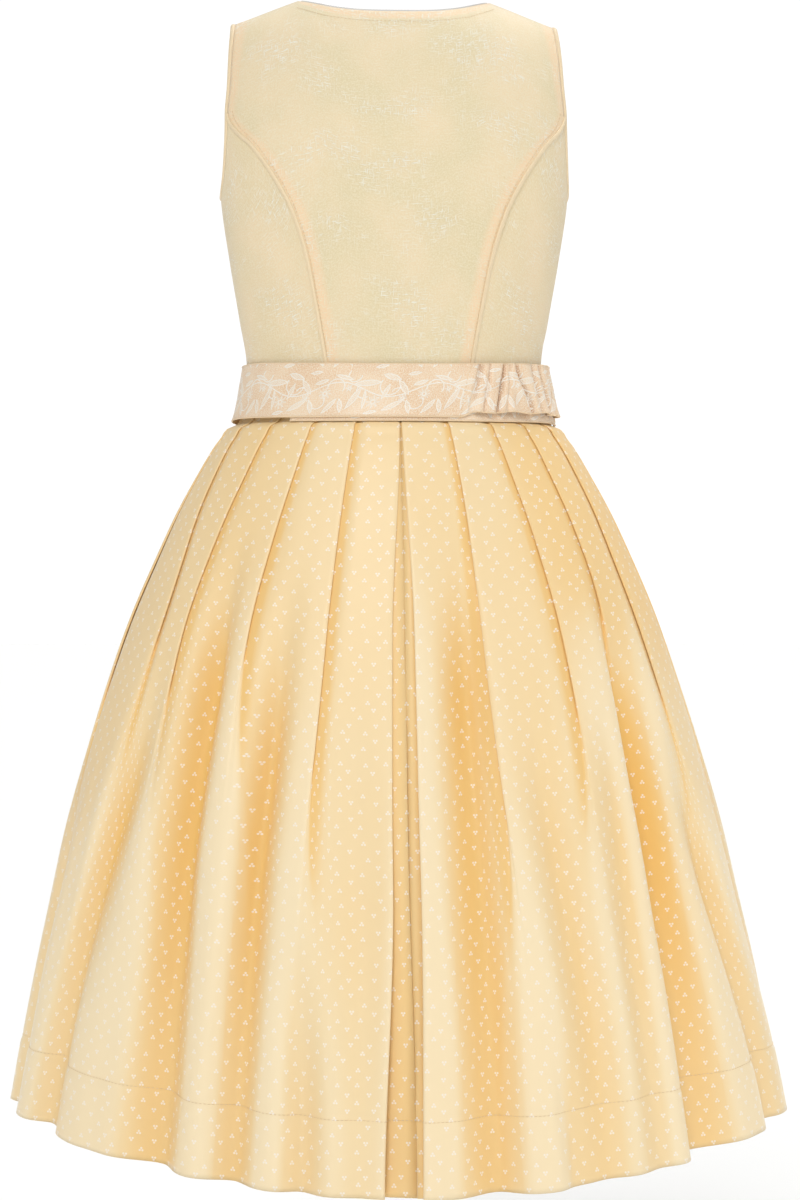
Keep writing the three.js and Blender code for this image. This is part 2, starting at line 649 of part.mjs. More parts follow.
const rowHeight = (angle, down) => {
  const hem = mix(HEM_SIDE, HEM_BACK, Math.cos(angle) ** 2);
  return mix(WAIST, hem, down);
};
const skirtDepth = (down) => {
  const widest = skirtWidth(1);
  const narrowest = skirtWidth(0);
  return mix(WAIST_DEPTH, HEM_DEPTH, (skirtWidth(down) - narrowest) / (widest - narrowest));
};

// Millimetres along the section for each radian at that angle
function pace(angle, down) {
  return Math.hypot(skirtWidth(down) * Math.cos(angle), skirtDepth(down) * Math.sin(angle));
}

// A point of the skirt: out is its distance from the base section, square to it
function onSkirt(angle, down, out) {
  const a = skirtWidth(down);
  const b = skirtDepth(down);
  const normal = new THREE.Vector3(Math.sin(angle) / a, -Math.cos(angle) / b, 0).normalize();
  const at = new THREE.Vector3(a * Math.sin(angle), -b * Math.cos(angle), rowHeight(angle, down));
  return at.addScaledVector(normal, out);
}

// How far the troughs draw the cloth in at an angle in degrees from the centre back
function troughDepth(troughs, degrees, down) {
  return troughs.reduce((sum, trough) => {
    const strength = smooth(trough.begins, trough.full, down);
    const centre = mix(trough.from, trough.to, smooth(trough.begins, 1, down));
    const off = degrees - centre;
    const width = off < 0 ? trough.near : trough.far;
    return sum + trough.depth * strength * Math.exp(-((off / width) ** 2));
  }, 0);
}

const pleatAngle = (pleat, down) => {
  const upper = mix(pleat.waist, pleat.third, smooth(0, THIRD, down));
  return mix(upper, pleat.hem, smooth(THIRD, 1, down));
};

const unfolded = (pleat, down) => smooth(pleat.stands, pleat.stands + OPENS_OVER, down);
const softness = (pleat, down) => 1 - smooth(pleat.stands + FADES.from, pleat.stands + FADES.to, down);
const lapAt = (pleat, down) => pleat.lap * (1 - smooth(pleat.stands - LAP_RUNS_OUT, pleat.stands, down));

// The path of one side of the skirt at one level, from the centre back to the centre front, as
// {degrees, out}: the cloth runs under each fold edge, turns back and comes round the edge
function halfPath(pleats, troughs, down) {
  const path = [];
  const add = (degrees, out) => path.push({ degrees, out: out - troughDepth(troughs, degrees, down) });
  const upper = mix(LAYER.atWaist, LAYER.atThird, smooth(0, THIRD, down));
  const layer = (i) => (i === 0 ? mix(upper, LAYER.atHem, smooth(BACK_PLEAT_OPENS, 1, down)) : upper);
  add(0, -2 * layer(0));
  pleats.forEach((pleat, i) => {
    const edge = pleatAngle(pleat, down);
    const next = i + 1 < pleats.length ? pleatAngle(pleats[i + 1], down) : 180;
    const previous = i > 0 ? pleatAngle(pleats[i - 1], down) : 0;
    const open = unfolded(pleat, down);
    const openNext = i + 1 < pleats.length ? unfolded(pleats[i + 1], down) : 1;
    const degreesPer = 1 / (pace(edge * DEGREE, down) * DEGREE);
    const before = edge - previous;
    const after = next - edge;
    const depth = layer(i) * softness(pleat, down);
    for (const { lap, layers, back } of UNDER_FOLD) {
      const folded = edge + lap * lapAt(pleat, down) * degreesPer;
      add(mix(folded, edge - back * before, open), -layers * depth);
    }
    for (const { closed, open: opened } of ALONG) add(edge + mix(closed, opened, openNext) * after, 0);
    if (i + 1 < pleats.length) {
      const tuck = next - mix(TUCK.nose * degreesPer, TUCK.openShare * after, openNext);
      const layers = mix(TUCK.layers, TUCK.openLayers, openNext);
      add(tuck, -layers * layer(i + 1) * softness(pleats[i + 1], down));
    }
  });
  add(180, 0);
  return path;
}

// The whole ring at one level, from the centre back round the wearer's right and the front
function skirtRing(down) {
  const right = halfPath(PLEATS_RIGHT, TROUGHS_RIGHT, down);
  const left = halfPath(PLEATS_LEFT, TROUGHS_LEFT, down);
  const points = right.map(({ degrees, out }) => onSkirt(degrees * DEGREE, down, out));
  const back = left.slice(0, -1).reverse();
  return points.concat(back.map(({ degrees, out }) => onSkirt(-degrees * DEGREE, down, out)));
}

// The three panels of the skirt, cut from the ring at the centre back and the two side seams
function skirtPanels() {
  const sideColumn = SIDE_SEAM_PLEAT * PLEAT_PARTS + SIDE_SEAM_PART;
  const downs = [...SKIRT_ROWS].reverse();
  const grid = downs.map((down) => {
    const wider = skirtWidth(down + SLOPE_STEP) - skirtWidth(down - SLOPE_STEP);
    const widening = wider / (2 * SLOPE_STEP * (WAIST - HEM_BACK));
    return withLevelNormals(skirtRing(down), Math.hypot(1, widening));
  });
  const columns = grid[0].length;
  const slice = (from, to) => parted(grid.map((row) => row.slice(from, to + 1)), ['first', 'last', 'top']);
  const thickness = (r) => (downs[r] > HEM_DEPTH_SHARE ? HEM_WALL : SKIRT_WALL);
  return {
    skirt_back_right: wallGeometry(slice(0, sideColumn), thickness),
    skirt_front: wallGeometry(slice(sideColumn, columns - 1 - sideColumn), thickness),
    skirt_back_left: wallGeometry(slice(columns - 1 - sideColumn, columns - 1), thickness),
  };
}

// Band of the apron round the waist

function ruching(degrees, rise) {
  const { from, to, ends, waves, slant, height } = RUCHED;
  const inside = smooth(from, from + ends, degrees) * (1 - smooth(to - ends, to, degrees));
  const phase = ((degrees - from) / (to - from)) * waves + slant * (rise - 0.5);
  return inside * height * (0.5 - 0.5 * Math.cos(2 * Math.PI * phase));
}

function bandPoint(degrees, height, lift) {
  const angle = degrees * DEGREE;
  const a = bandWidth(height);
  const b = bandDepth(height);
  const normal = new THREE.Vector3(Math.sin(angle) / a, -Math.cos(angle) / b, 0).normalize();
  return new THREE.Vector3(a * Math.sin(angle), -b * Math.cos(angle), height).addScaledVector(normal, lift);
}

function bandStrip({ from, to, columns, lift, top, bottom, wall, ruched, edges }) {
  const points = span(4, 0, 1).map((rise) => span(columns, from, to).map((degrees) => {
    const height = mix(bottom, top, rise);
    return bandPoint(degrees, height, lift + (ruched ? ruching(degrees, rise) : 0));
  }));
  return wallGeometry(parted(withGridNormals(points), edges), () => wall);
}

function bands() {
  const over = {
    lift: UNDER_BAND_WALL / 2 + CLEAR + BAND_WALL / 2,
    top: BAND_TOP,
    bottom: BAND_BOTTOM,
    wall: BAND_WALL,
    edges: ['first', 'last'],
  };
  const elastic = { ...over, bottom: BAND_BOTTOM + ELASTIC_RISE, ruched: true };
  const under = {
    lift: 0,
    top: BAND_TOP - UNDER_BAND_TOP_BELOW,
    bottom: BAND_BOTTOM - UNDER_BAND_SHOWS,
    wall: UNDER_BAND_WALL,
    edges: [],
  };
  return {
    band_back: bandStrip({ ...over, from: -BAND_SEAM, to: RUCHED.from, columns: 20 }),
    band_elastic: bandStrip({ ...elastic, from: RUCHED.from, to: BAND_SEAM, columns: 43 }),
    band_front: bandStrip({ ...over, from: BAND_SEAM, to: 360 - BAND_SEAM, columns: 28 }),
    band_under: bandStrip({ ...under, from: UNDER_BAND_STARTS, to: BAND_SEAM, columns: 22 }),
  };
}

// Apron

// Distance of the apron from the skirt's base section: clear of the pleats, waved by its gathers, which
// run out on the way down into wide soft folds
function apronOut(degrees, down) {
  const below = smooth(0.02, 0.12, down);
  const clear = mix(APRON.clearAtBand, APRON.clearBelow, below);
  const turn = (2 * Math.PI * (degrees - (180 - APRON.half))) / (2 * APRON.half);
  const gather = mix(APRON.gatherAtBand, APRON.gatherBelow, below) * (1 - smooth(0.25, 0.8, down));
  const fold = APRON.foldDepth * smooth(0.2, 0.9, down);
  return clear + gather * Math.cos(APRON.gathers * turn) + fold * (1 + Math.cos(APRON.folds * turn + 0.8));
}

function apron() {
  const downTop = (WAIST - APRON.top) / (WAIST - HEM_SIDE);
  const downs = [...APRON_ROWS].reverse().map((share) => mix(downTop, APRON.bottomShare, share));
  const columns = span(APRON.columns, 180 - APRON.half, 180 + APRON.half);
  const points = downs.map((down) => columns.map((degrees) => (
    onSkirt(degrees * DEGREE, down, apronOut(degrees, down))
  )));
  const grid = withGridNormals(points);
  const top = grid[grid.length - 1];
  top.forEach(({ at, normal }) => {
    at.setZ(APRON.top);
    normal.setZ(0).normalize();
  });
  return wallGeometry(grid, () => APRON_WALL);
}

// Assembly

const dress = new THREE.Group();

function addPiece(name, geometry, colour) {
  const material = new THREE.MeshStandardMaterial({ color: colour, roughness: 0.75, metalness: 0 });
  const mesh = new THREE.Mesh(geometry, material);
  mesh.name = name;
  dress.add(mesh);
  return mesh;
}

const panel = (grid, edges) => wallGeometry(parted(grid, edges), () => BODICE_WALL);
addPiece('back_centre', panel(backCentreGrid(), ['first', 'last', 'top', 'bottom']), COLOUR.bodice);
for (const [side, sign] of [['right', 1], ['left', -1]]) {
  addPiece(`back_side_${side}`, panel(backSideGrid(sign), ['first', 'last', 'bottom']), COLOUR.bodice);
  addPiece(`front_${side}`, panel(frontGrid(sign), ['first', 'last', 'top', 'bottom']), COLOUR.bodice);
  addPiece(`back_piping_${side}`, princessPiping(sign), COLOUR.bodice);
  addPiece(`armhole_binding_${side}`, armholeBinding(sign), COLOUR.bodice);
}
addPiece('neck_trim_back', neckTrim([backCentreGrid()]), COLOUR.trim);
addPiece('neck_trim_front', neckTrim([frontGrid(1), frontGrid(-1)]), COLOUR.trim);
addPiece('front_placket', placket(), COLOUR.bodice);
buttonPlaces().forEach(({ at, normal }, i) => {
  const button = addPiece(
    `button_${i + 1}`,
    new THREE.CylinderGeometry(BUTTON_RADIUS, BUTTON_RADIUS, BUTTON_THICKNESS, BUTTON_SIDES),
    COLOUR.button,
  );
  button.position.copy(at);
  button.quaternion.setFromUnitVectors(new THREE.Vector3(0, 1, 0), normal);
});
Object.entries(skirtPanels()).forEach(([name, geometry]) => addPiece(name, geometry, COLOUR.skirt));
Object.entries(bands()).forEach(([name, geometry]) => addPiece(name, geometry, COLOUR.band));
addPiece('apron', apron(), COLOUR.band);

export default dress;
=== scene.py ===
# A child's sleeveless dirndl dress in its worn shape, with no wearer. Lengths in the tables and in the
# functions of the garment are millimetres, and meshes are made in metres. +Z is up, -Y is towards the
# back of the dress and +X is towards the wearer's right. Angles run from the centre back round the
# wearer's right.
import math

import bpy
import numpy as np
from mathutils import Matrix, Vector


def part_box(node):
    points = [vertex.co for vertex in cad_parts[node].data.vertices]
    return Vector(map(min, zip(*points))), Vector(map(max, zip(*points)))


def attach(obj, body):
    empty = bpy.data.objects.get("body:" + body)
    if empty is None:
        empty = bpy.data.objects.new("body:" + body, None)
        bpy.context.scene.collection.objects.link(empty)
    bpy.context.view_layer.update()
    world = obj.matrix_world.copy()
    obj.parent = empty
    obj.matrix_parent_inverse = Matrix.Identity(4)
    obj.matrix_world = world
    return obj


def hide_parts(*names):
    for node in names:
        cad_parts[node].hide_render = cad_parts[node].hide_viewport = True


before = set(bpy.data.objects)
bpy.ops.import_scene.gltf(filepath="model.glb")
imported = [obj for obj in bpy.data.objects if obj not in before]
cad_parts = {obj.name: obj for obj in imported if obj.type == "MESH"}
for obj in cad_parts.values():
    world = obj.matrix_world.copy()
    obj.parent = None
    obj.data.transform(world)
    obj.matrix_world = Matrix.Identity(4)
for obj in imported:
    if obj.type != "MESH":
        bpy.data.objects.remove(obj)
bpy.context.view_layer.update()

MM = 0.001
BODY_NAME = "root"


# Tables and interpolation

def table(columns, *rows):
    """A list of rows with named columns."""
    names = columns.split()
    return [dict(zip(names, row)) for row in rows]


def mix(a, b, share):
    return a + (b - a) * share


def smooth(start, end, at):
    share = np.clip((at - start) / (end - start), 0, 1)
    return share * share * (3 - 2 * share)


def power(base, exponent):
    return np.sign(base) * np.abs(base) ** exponent


def cubic(start, end, leaving, arriving, share):
    """The cubic curve from start to end with its slopes at the two."""
    first = start * (1 + 2 * share) * (1 - share) ** 2 + leaving * share * (1 - share) ** 2
    last = end * share ** 2 * (3 - 2 * share) + arriving * share ** 2 * (share - 1)
    return first + last


def follow(rows, column):
    """Smooth monotone interpolation of one column of a table along its first column."""
    key = next(iter(rows[0]))
    ordered = sorted(rows, key=lambda row: row[key])
    x = np.array([row[key] for row in ordered], float)
    y = np.array([row[column] for row in ordered], float)
    slope = np.diff(y) / np.diff(x)
    inner = [0 if a * b <= 0 else 2 * a * b / (a + b) for a, b in zip(slope, slope[1:])]
    tangent = np.array([slope[0], *inner, slope[-1]])

    def value(at):
        at = np.clip(at, x[0], x[-1])
        i = np.clip(np.searchsorted(x, at, side="right") - 1, 0, len(x) - 2)
        span = x[i + 1] - x[i]
        return cubic(y[i], y[i + 1], tangent[i] * span, tangent[i + 1] * span, (at - x[i]) / span)

    return value


# Driving sizes
WAIST = -297
HEM_BACK = -842.5
HEM_SIDE = -812
HEM_LINE = 0.908
NECK_HALF_WIDTH = 72
NECK_POINT = 9
TIP_HALF_WIDTH = 122.6
TIP = -9
BACK_NECK_DEPTH = 16
FRONT_NECK_DEPTH = 78
NECK_CURVE = 2.8
ARMHOLE_CORNER = -82
UNDERARM = -137
SEAM_GAP = 0.3
BODICE_WALL = 1.2
BODICE_CLOTH = 0.9
SKIRT_CLOTH = 0.6
BAND_CLOTH = 1.0
APRON_CLOTH = 0.7
BAND_TOP = -267
BAND_BOTTOM = -307
BINDING_WIDTH = 3.4
BINDING_THICKNESS = 2.8
PIPING_RADIUS = 1.3
PIPING_LIFT = 0.5
PLACKET_WIDTH = 20
BUTTON_COUNT = 5
SET_BACK = SEAM_GAP + BINDING_WIDTH

# Sections of the bodice: half width, half depth and the exponent of the superellipse
BODY = table(
    "height half_width half_depth square",
    (WAIST, 114, 86.5, 2.0), (-266, 109.8, 84, 2.0), (-230, 115.2, 87, 2.12), (-188, 122.3, 91, 2.35),
    (UNDERARM, 129.3, 94, 2.5), (ARMHOLE_CORNER, 131.5, 93, 2.6), (30, 128, 88, 2.6),
)

# How much of the full depth is reached below the shoulder line
SHOULDER = table(
    "drop share",
    (0, 0), (5, 0.16), (14, 0.34), (35, 0.58), (70, 0.8), (120, 0.95), (170, 1),
)

# The princess seam of the back from the waist to the armhole, and the bound armhole edge above it
BACK_EDGE = table(
    "height half_width",
    (WAIST, 49), (-264, 53.5), (-229, 59.6), (-189, 67.6), (-158, 77.5), (-132, 91), (-108, 107),
    (ARMHOLE_CORNER, 128), (-60, 126.2), (-35, 124.8), (TIP, TIP_HALF_WIDTH),
)

# The bound armhole edge of the front, above the underarm
FRONT_EDGE = table(
    "height half_width",
    (UNDERARM, 129.3), (-132.5, 128.2), (-126, 125.4), (-114, 121), (-95, 117.4), (-75, 115.6),
    (-42, 116.4), (TIP, TIP_HALF_WIDTH),
)

# Middle of the band's layers, from its top edge down over the waist seam
BAND = table(
    "height half_width half_depth",
    (BAND_TOP, 111.9, 86.2), (-280, 114, 87.5), (WAIST, 116.2, 88.8), (-313, 119.6, 92.2),
)

# Half width of the skirt down its length, out to the edges of the pleats
SKIRT = table(
    "down half_width",
    (0, 113.4), (0.018, 115.5), (0.0236, 118.8), (0.03, 126), (0.0418, 129.6), (0.05, 133), (0.1, 148.5),
    (0.15, 162.5), (0.2, 174.5), (0.3, 196.5), (0.4, 214.5), (0.5, 230.5), (0.6, 245), (0.7, 257),
    (0.8, 269), (0.9, 279.5), (1, 289),
)
WAIST_DEPTH = 85.5
HEM_DEPTH = 232

# Knife pleats of each side, from the centre back to the centre front: angle of the fold's edge in degrees
# at the waist, at PLEATS_SET of the length and at the hem, the share of the length from which it turns to
# its place at the hem, the share at which its overlap has run out, and the overlap at the waist
PLEATS_SET = 0.3
PLEAT_COLUMNS = "waist third hem turns stands lap"
PLEATS_RIGHT = table(
    PLEAT_COLUMNS,
    (0.5, 2.0, 0.9, 0.6, 2, 18), (16.6, 16.3, 19.4, 0.3, 0.57, 18), (32.6, 34.8, 33.5, 0.3, 0.44, 18),
    (48, 50, 43.8, 0.3, 0.32, 16), (64.5, 62.5, 75, 0.3, 0.44, 17), (84, 84, 91, 0.3, 0.44, 17),
    (103, 103, 106, 0.3, 0.57, 17), (121, 120, 121, 0.3, 0.44, 17), (138.5, 137, 136, 0.3, 0.57, 18),
    (156, 154, 152, 0.3, 0.44, 18),
)
PLEATS_LEFT = table(
    PLEAT_COLUMNS,
    (0.5, 2.7, 4.6, 0.6, 2, 18), (15.4, 16.2, 19.5, 0.3, 0.5, 18), (30.8, 33.6, 31, 0.3, 0.36, 18),
    (48.3, 52, 52.4, 0.3, 0.42, 17), (67, 60.8, 72, 0.3, 0.36, 16), (84.5, 84, 89, 0.3, 0.44, 17),
    (103, 102, 105, 0.3, 0.44, 17), (121, 120, 121, 0.3, 0.57, 17), (138.5, 138, 137, 0.3, 0.44, 18),
    (156, 155, 153, 0.3, 0.57, 18),
)

# Soft troughs of the lower skirt: angle in degrees where each begins and at the hem, the shares of the
# length where it begins and is full, its depth, and its widths in degrees towards the centre back and
# away from it
TROUGH_COLUMNS = "start end begins full depth near far"
TROUGHS_RIGHT = table(
    TROUGH_COLUMNS,
    (12.4, 11.8, 0.1, 0.42, 19, 5.2, 3), (21, 22.5, 0.74, 0.98, 7, 2, 3),
    (24.5, 28.4, 0.3, 0.6, 11.5, 4, 3.4), (40.5, 37, 0.36, 0.6, 9, 4, 3),
    (50, 47.4, 0.2, 0.55, 25, 3.4, 6.5), (60, 70, 0.4, 0.7, 13, 5, 3), (79, 86, 0.45, 0.7, 8, 4, 3.4),
    (98, 101, 0.5, 0.8, 12, 4.5, 3.4), (115.5, 116, 0.45, 0.75, 16, 5, 3.4),
    (132, 131, 0.5, 0.8, 14, 4, 3.6), (149, 147, 0.45, 0.75, 16, 5, 3.4), (169, 166, 0.5, 0.85, 11, 5, 5),
)
TROUGHS_LEFT = table(
    TROUGH_COLUMNS,
    (9.5, 8, 0.3, 0.7, 5, 4, 4), (17, 16.2, 0.66, 0.92, 11, 2.6, 2.4), (25.4, 26.6, 0.2, 0.5, 18, 3.2, 3.4),
    (42.4, 39.6, 0.14, 0.42, 21, 3.8, 5), (56, 67.5, 0.3, 0.6, 15, 6, 2.8), (79, 84, 0.45, 0.72, 8, 4, 3.4),
    (97, 100, 0.45, 0.75, 13, 5, 3.4), (115, 116, 0.5, 0.8, 14, 4, 3.6),
    (133, 132, 0.45, 0.75, 16, 4.5, 3.4), (150, 148, 0.5, 0.8, 14, 4.5, 3.4), (168, 165, 0.5, 0.85, 12, 5, 5),
)

body_width = follow(BODY, "half_width")
body_depth = follow(BODY, "half_depth")
body_square = follow(BODY, "square")
shoulder_share = follow(SHOULDER, "share")
back_edge = follow(BACK_EDGE, "half_width")
front_edge = follow(FRONT_EDGE, "half_width")
band_width = follow(BAND, "half_width")
band_depth = follow(BAND, "half_depth")
skirt_width = follow(SKIRT, "half_width")


# Material nodes

class Value:
    """A number or colour that varies over a cloth. Arithmetic with it adds nodes to its material."""

    def __init__(self, cloth, socket):
        self.cloth = cloth
        self.socket = socket

    def __add__(self, other):
        return self.cloth.math("ADD", self, other)

    def __sub__(self, other):
        return self.cloth.math("SUBTRACT", self, other)

    def __rsub__(self, other):
        return self.cloth.math("SUBTRACT", other, self)

    def __mul__(self, other):
        return self.cloth.math("MULTIPLY", self, other)

    def __abs__(self):
        return self.cloth.math("ABSOLUTE", self)

    def ramp(self, low, high, start=0.0, end=1.0):
        """Maps low..high to start..end, smoothly and clamped."""
        node = self.cloth.node("ShaderNodeMapRange", {
            "Value": self, "From Min": low, "From Max": high, "To Min": start, "To Max": end,
        })
        node.interpolation_type = "SMOOTHSTEP"
        return Value(self.cloth, node.outputs[0])


class Cloth:
    """A material whose colour, roughness and relief are built from nodes."""

    def __init__(self, name, roughness, sheen, specular):
        self.material = bpy.data.materials.new(name)
        self.material.use_nodes = True
        self.nodes = self.material.node_tree.nodes
        self.links = self.material.node_tree.links
        self.shader = self.nodes["Principled BSDF"]
        for socket, value in (
            ("Roughness", roughness), ("Sheen Weight", sheen), ("Sheen Roughness", 0.4),
            ("Specular IOR Level", specular),
        ):
            self.shader.inputs[socket].default_value = value
        place = self.node("ShaderNodeUVMap")
        place.uv_map = "cloth"
        self.place = Value(self, place.outputs["UV"])
        self.across, self.up = self.parts(self.place)

    def put(self, value, socket):
        if isinstance(value, Value):
            self.links.new(value.socket, socket)
        elif isinstance(value, tuple) and socket.type == "RGBA":
            socket.default_value = (*value, 1)
        else:
            socket.default_value = value

    def node(self, kind, inputs=None):
        """A new node with its inputs set or linked, by their names or numbers."""
        node = self.nodes.new(kind)
        for key, value in (inputs or {}).items():
            self.put(value, node.inputs[key])
        return node

    def parts(self, vector):
        outputs = self.node("ShaderNodeSeparateXYZ", {0: vector}).outputs
        return Value(self, outputs["X"]), Value(self, outputs["Y"])

    def math(self, operation, *values):
        node = self.node("ShaderNodeMath", dict(enumerate(values)))
        node.operation = operation
        return Value(self, node.outputs[0])

    def noise(self, across, up, detail=2.0, roughness=0.5):
        """Noise with that many features to a millimetre across the cloth and up it."""
        scaled = self.node("ShaderNodeVectorMath", {0: self.place, 1: (across, up, 1)})
        scaled.operation = "MULTIPLY"
        node = self.node("ShaderNodeTexNoise", {
            "Vector": Value(self, scaled.outputs[0]), "Scale": 1, "Detail": detail, "Roughness": roughness,
        })
        return Value(self, node.outputs["Fac"])

    def mixed(self, share, first, second):
        node = self.nodes.new("ShaderNodeMix")
        node.data_type = "RGBA"
        for value, socket in ((share, "Factor"), (first, 6), (second, 7)):
            self.put(value, node.inputs[socket])
        return Value(self, node.outputs[2])

    def tint(self):
        """The share of the tint at each point, which the mesh holds. On the bodice it is the peach of doubled
        cloth and of the side panels; on the skirt and the band it is painted shade in folds and puckers, and
        below 0 on the skirt a painted highlight on the crests.
        """
        node = self.nodes.new("ShaderNodeAttribute")
        node.attribute_name = "tint"
        return Value(self, node.outputs["Fac"])

    def finish(self, colour, height, distance, strength):
        """Sets the colour, and bump from a height of 0 to 1 that stands for a distance in millimetres."""
        self.put(colour, self.shader.inputs["Base Color"])
        bump = self.node("ShaderNodeBump", {
            "Strength": strength, "Distance": distance * MM, "Height": height,
        })
        self.links.new(bump.outputs[0], self.shader.inputs["Normal"])
        return self.material


def wave(value, length):
    """A sine wave of that length."""
    return value.cloth.math("SINE", value * (2 * math.pi / length))


def weave(cloth, pitch):
    """Height of a plain weave with threads of that pitch in millimetres."""
    return wave(cloth.across, 2 * pitch) * wave(cloth.up, 2 * pitch) * 0.5 + 0.5


def bodice_material():
    """Slubbed plain weave: pale cream yellow with whitish slubs both ways, peach where it is double."""
    cloth = Cloth("bodice_weave", roughness=0.6, sheen=0.25, specular=0.3)
    wide = cloth.noise(0.016, 0.014, detail=3).ramp(0.36, 0.64)
    ground = cloth.mixed(wide, (0.77, 0.655, 0.40), (0.86, 0.70, 0.45))
    ground = cloth.mixed(cloth.tint(), ground, (0.92, 0.68, 0.42))
    fine = cloth.noise(0.8, 0.8, detail=3, roughness=0.75)
    ground = cloth.mixed(fine.ramp(0.4, 0.72), ground, (0.88, 0.78, 0.57))
    dark = cloth.noise(0.5, 0.62, detail=2, roughness=0.8).ramp(0.58, 0.76, 0, 0.55)
    ground = cloth.mixed(dark, ground, (0.74, 0.60, 0.33))
    weft_slub = cloth.noise(0.14, 1.05, detail=3, roughness=0.65).ramp(0.54, 0.64)
    warp_slub = cloth.noise(1.1, 0.13, detail=3, roughness=0.65).ramp(0.56, 0.66)
    patches = cloth.noise(0.013, 0.022, detail=3).ramp(0.45, 0.6, 0.18, 0.95)
    slub = cloth.math("MAXIMUM", weft_slub, warp_slub) * patches
    colour = cloth.mixed(slub, ground, (0.95, 0.92, 0.82))
    return cloth.finish(colour, slub * 0.7 + weave(cloth, 0.45) * 0.4 + fine * 0.6, 0.2, 0.8)


# The skirt's print: small triangles of three dots, in rows that point up and down in turn
MOTIF_SPACING = 17.0
MOTIF_ROW = 5.5
MOTIF_JITTER = 6.0
ROW_JITTER = 1.4
DOT_RADIUS = 0.78
DOTS = ((-0.95, 0.58), (0.95, 0.58), (0.0, -0.9))


def dot_print(cloth):
    """1 on the dots of the print and 0 beside them, each motif a little off its place."""
    level = cloth.up * (1 / MOTIF_ROW)
    row = cloth.math("FLOOR", level)
    odd = cloth.math("FLOORED_MODULO", row, 2.0)
    column = odd * 0.5 + cloth.across * (1 / MOTIF_SPACING)
    cell = cloth.node("ShaderNodeCombineXYZ", {"X": cloth.math("FLOOR", column), "Y": row})
    chance = cloth.node("ShaderNodeTexWhiteNoise", {"Vector": Value(cloth, cell.outputs[0])})
    chance.noise_dimensions = "2D"
    aside, above = cloth.parts(Value(cloth, chance.outputs["Color"]))
    x = (cloth.math("FRACT", column) - 0.5) * MOTIF_SPACING + (aside - 0.5) * MOTIF_JITTER
    y = (cloth.math("FRACT", level) - 0.5) * MOTIF_ROW + (above - 0.5) * ROW_JITTER
    y = y * (odd * -2.0 + 1.0)
    squares = [(x - across) * (x - across) + (y - up) * (y - up) for across, up in DOTS]
    nearest = cloth.math("MINIMUM", cloth.math("MINIMUM", squares[0], squares[1]), squares[2])
    return cloth.math("SQRT", nearest).ramp(DOT_RADIUS - 0.25, DOT_RADIUS + 0.15, 1, 0)


def skirt_material():
    """Smooth cotton with a satin sheen, warm pale yellow with a white dot print, and with painted shade in
    its folds and a painted highlight on their crests.
    """
    cloth = Cloth("skirt_cotton", roughness=0.42, sheen=0.15, specular=0.4)
    wide = cloth.noise(0.006, 0.004, detail=2).ramp(0.35, 0.65)
    ground = cloth.mixed(wide, (0.91, 0.69, 0.38), (0.90, 0.71, 0.42))
    tint = cloth.tint()
    # Painted shade: towards orange in the folds' crevices, troughs and upper flanks, where the tint is above
    # 0.
    ground = cloth.mixed(tint, ground, (0.86, 0.47, 0.06))
    # Painted highlight: towards paler cream on the crests of the folds, where the tint is below 0.
    ground = cloth.mixed(tint * -1.0, ground, (0.95, 0.81, 0.56))
    colour = cloth.mixed(dot_print(cloth) * 0.72, ground, (0.97, 0.89, 0.82))
    return cloth.finish(colour, weave(cloth, 0.3) * 0.5 + cloth.noise(1.3, 1.3, detail=1), 0.03, 0.5)


# Figure of the jacquard, in a repeat of that width and height in millimetres: leaves by their middle,
# turn in degrees, length and width, flowers by their middle, count of petals and size, and scrolls of
# stem by the middle and radius of their arc and the way it faces
REPEAT = (88.0, 43.0)
FIGURE_SCALE = 1.22
LEAVES = table(
    "across up turn length width",
    (46, 31, 4, 25, 5.8), (36, 17, 66, 24, 5.6), (45.5, 15.5, 95, 19, 3.4), (24, 36, -14, 18, 3.8),
    (16, 9.5, 58, 17, 4.8), (25.5, 10, 112, 15, 4.4), (4, 31.5, 20, 14, 3.8), (66, 36.5, -16, 18, 5.4),
    (78, 27, -50, 18, 5.2), (63, 23, 70, 16, 4.2), (72, 10, 32, 19, 5.4), (86, 9, -62, 15, 4.6),
    (55, 3.5, 12, 12, 3.6), (85, 40, 8, 12, 3.4),
)
FLOWERS = table(
    "across up petals size",
    (9, 21, 9, 5.6), (54, 13.5, 8, 6.4), (30, 26, 6, 3.4), (79, 17, 7, 4.2),
)
SCROLLS = table(
    "across up radius turn",
    (18, 27, 7.5, 80), (66, 29, 9, -100), (44, 24, 7, 200), (4, 13, 6, -60), (74, 20, 6.5, 40),
    (33, 38, 6, 250),
)
STEM_HALF_WIDTH = 0.5
STEM_HEIGHT = 25.0
STEM_SWING = 6.5


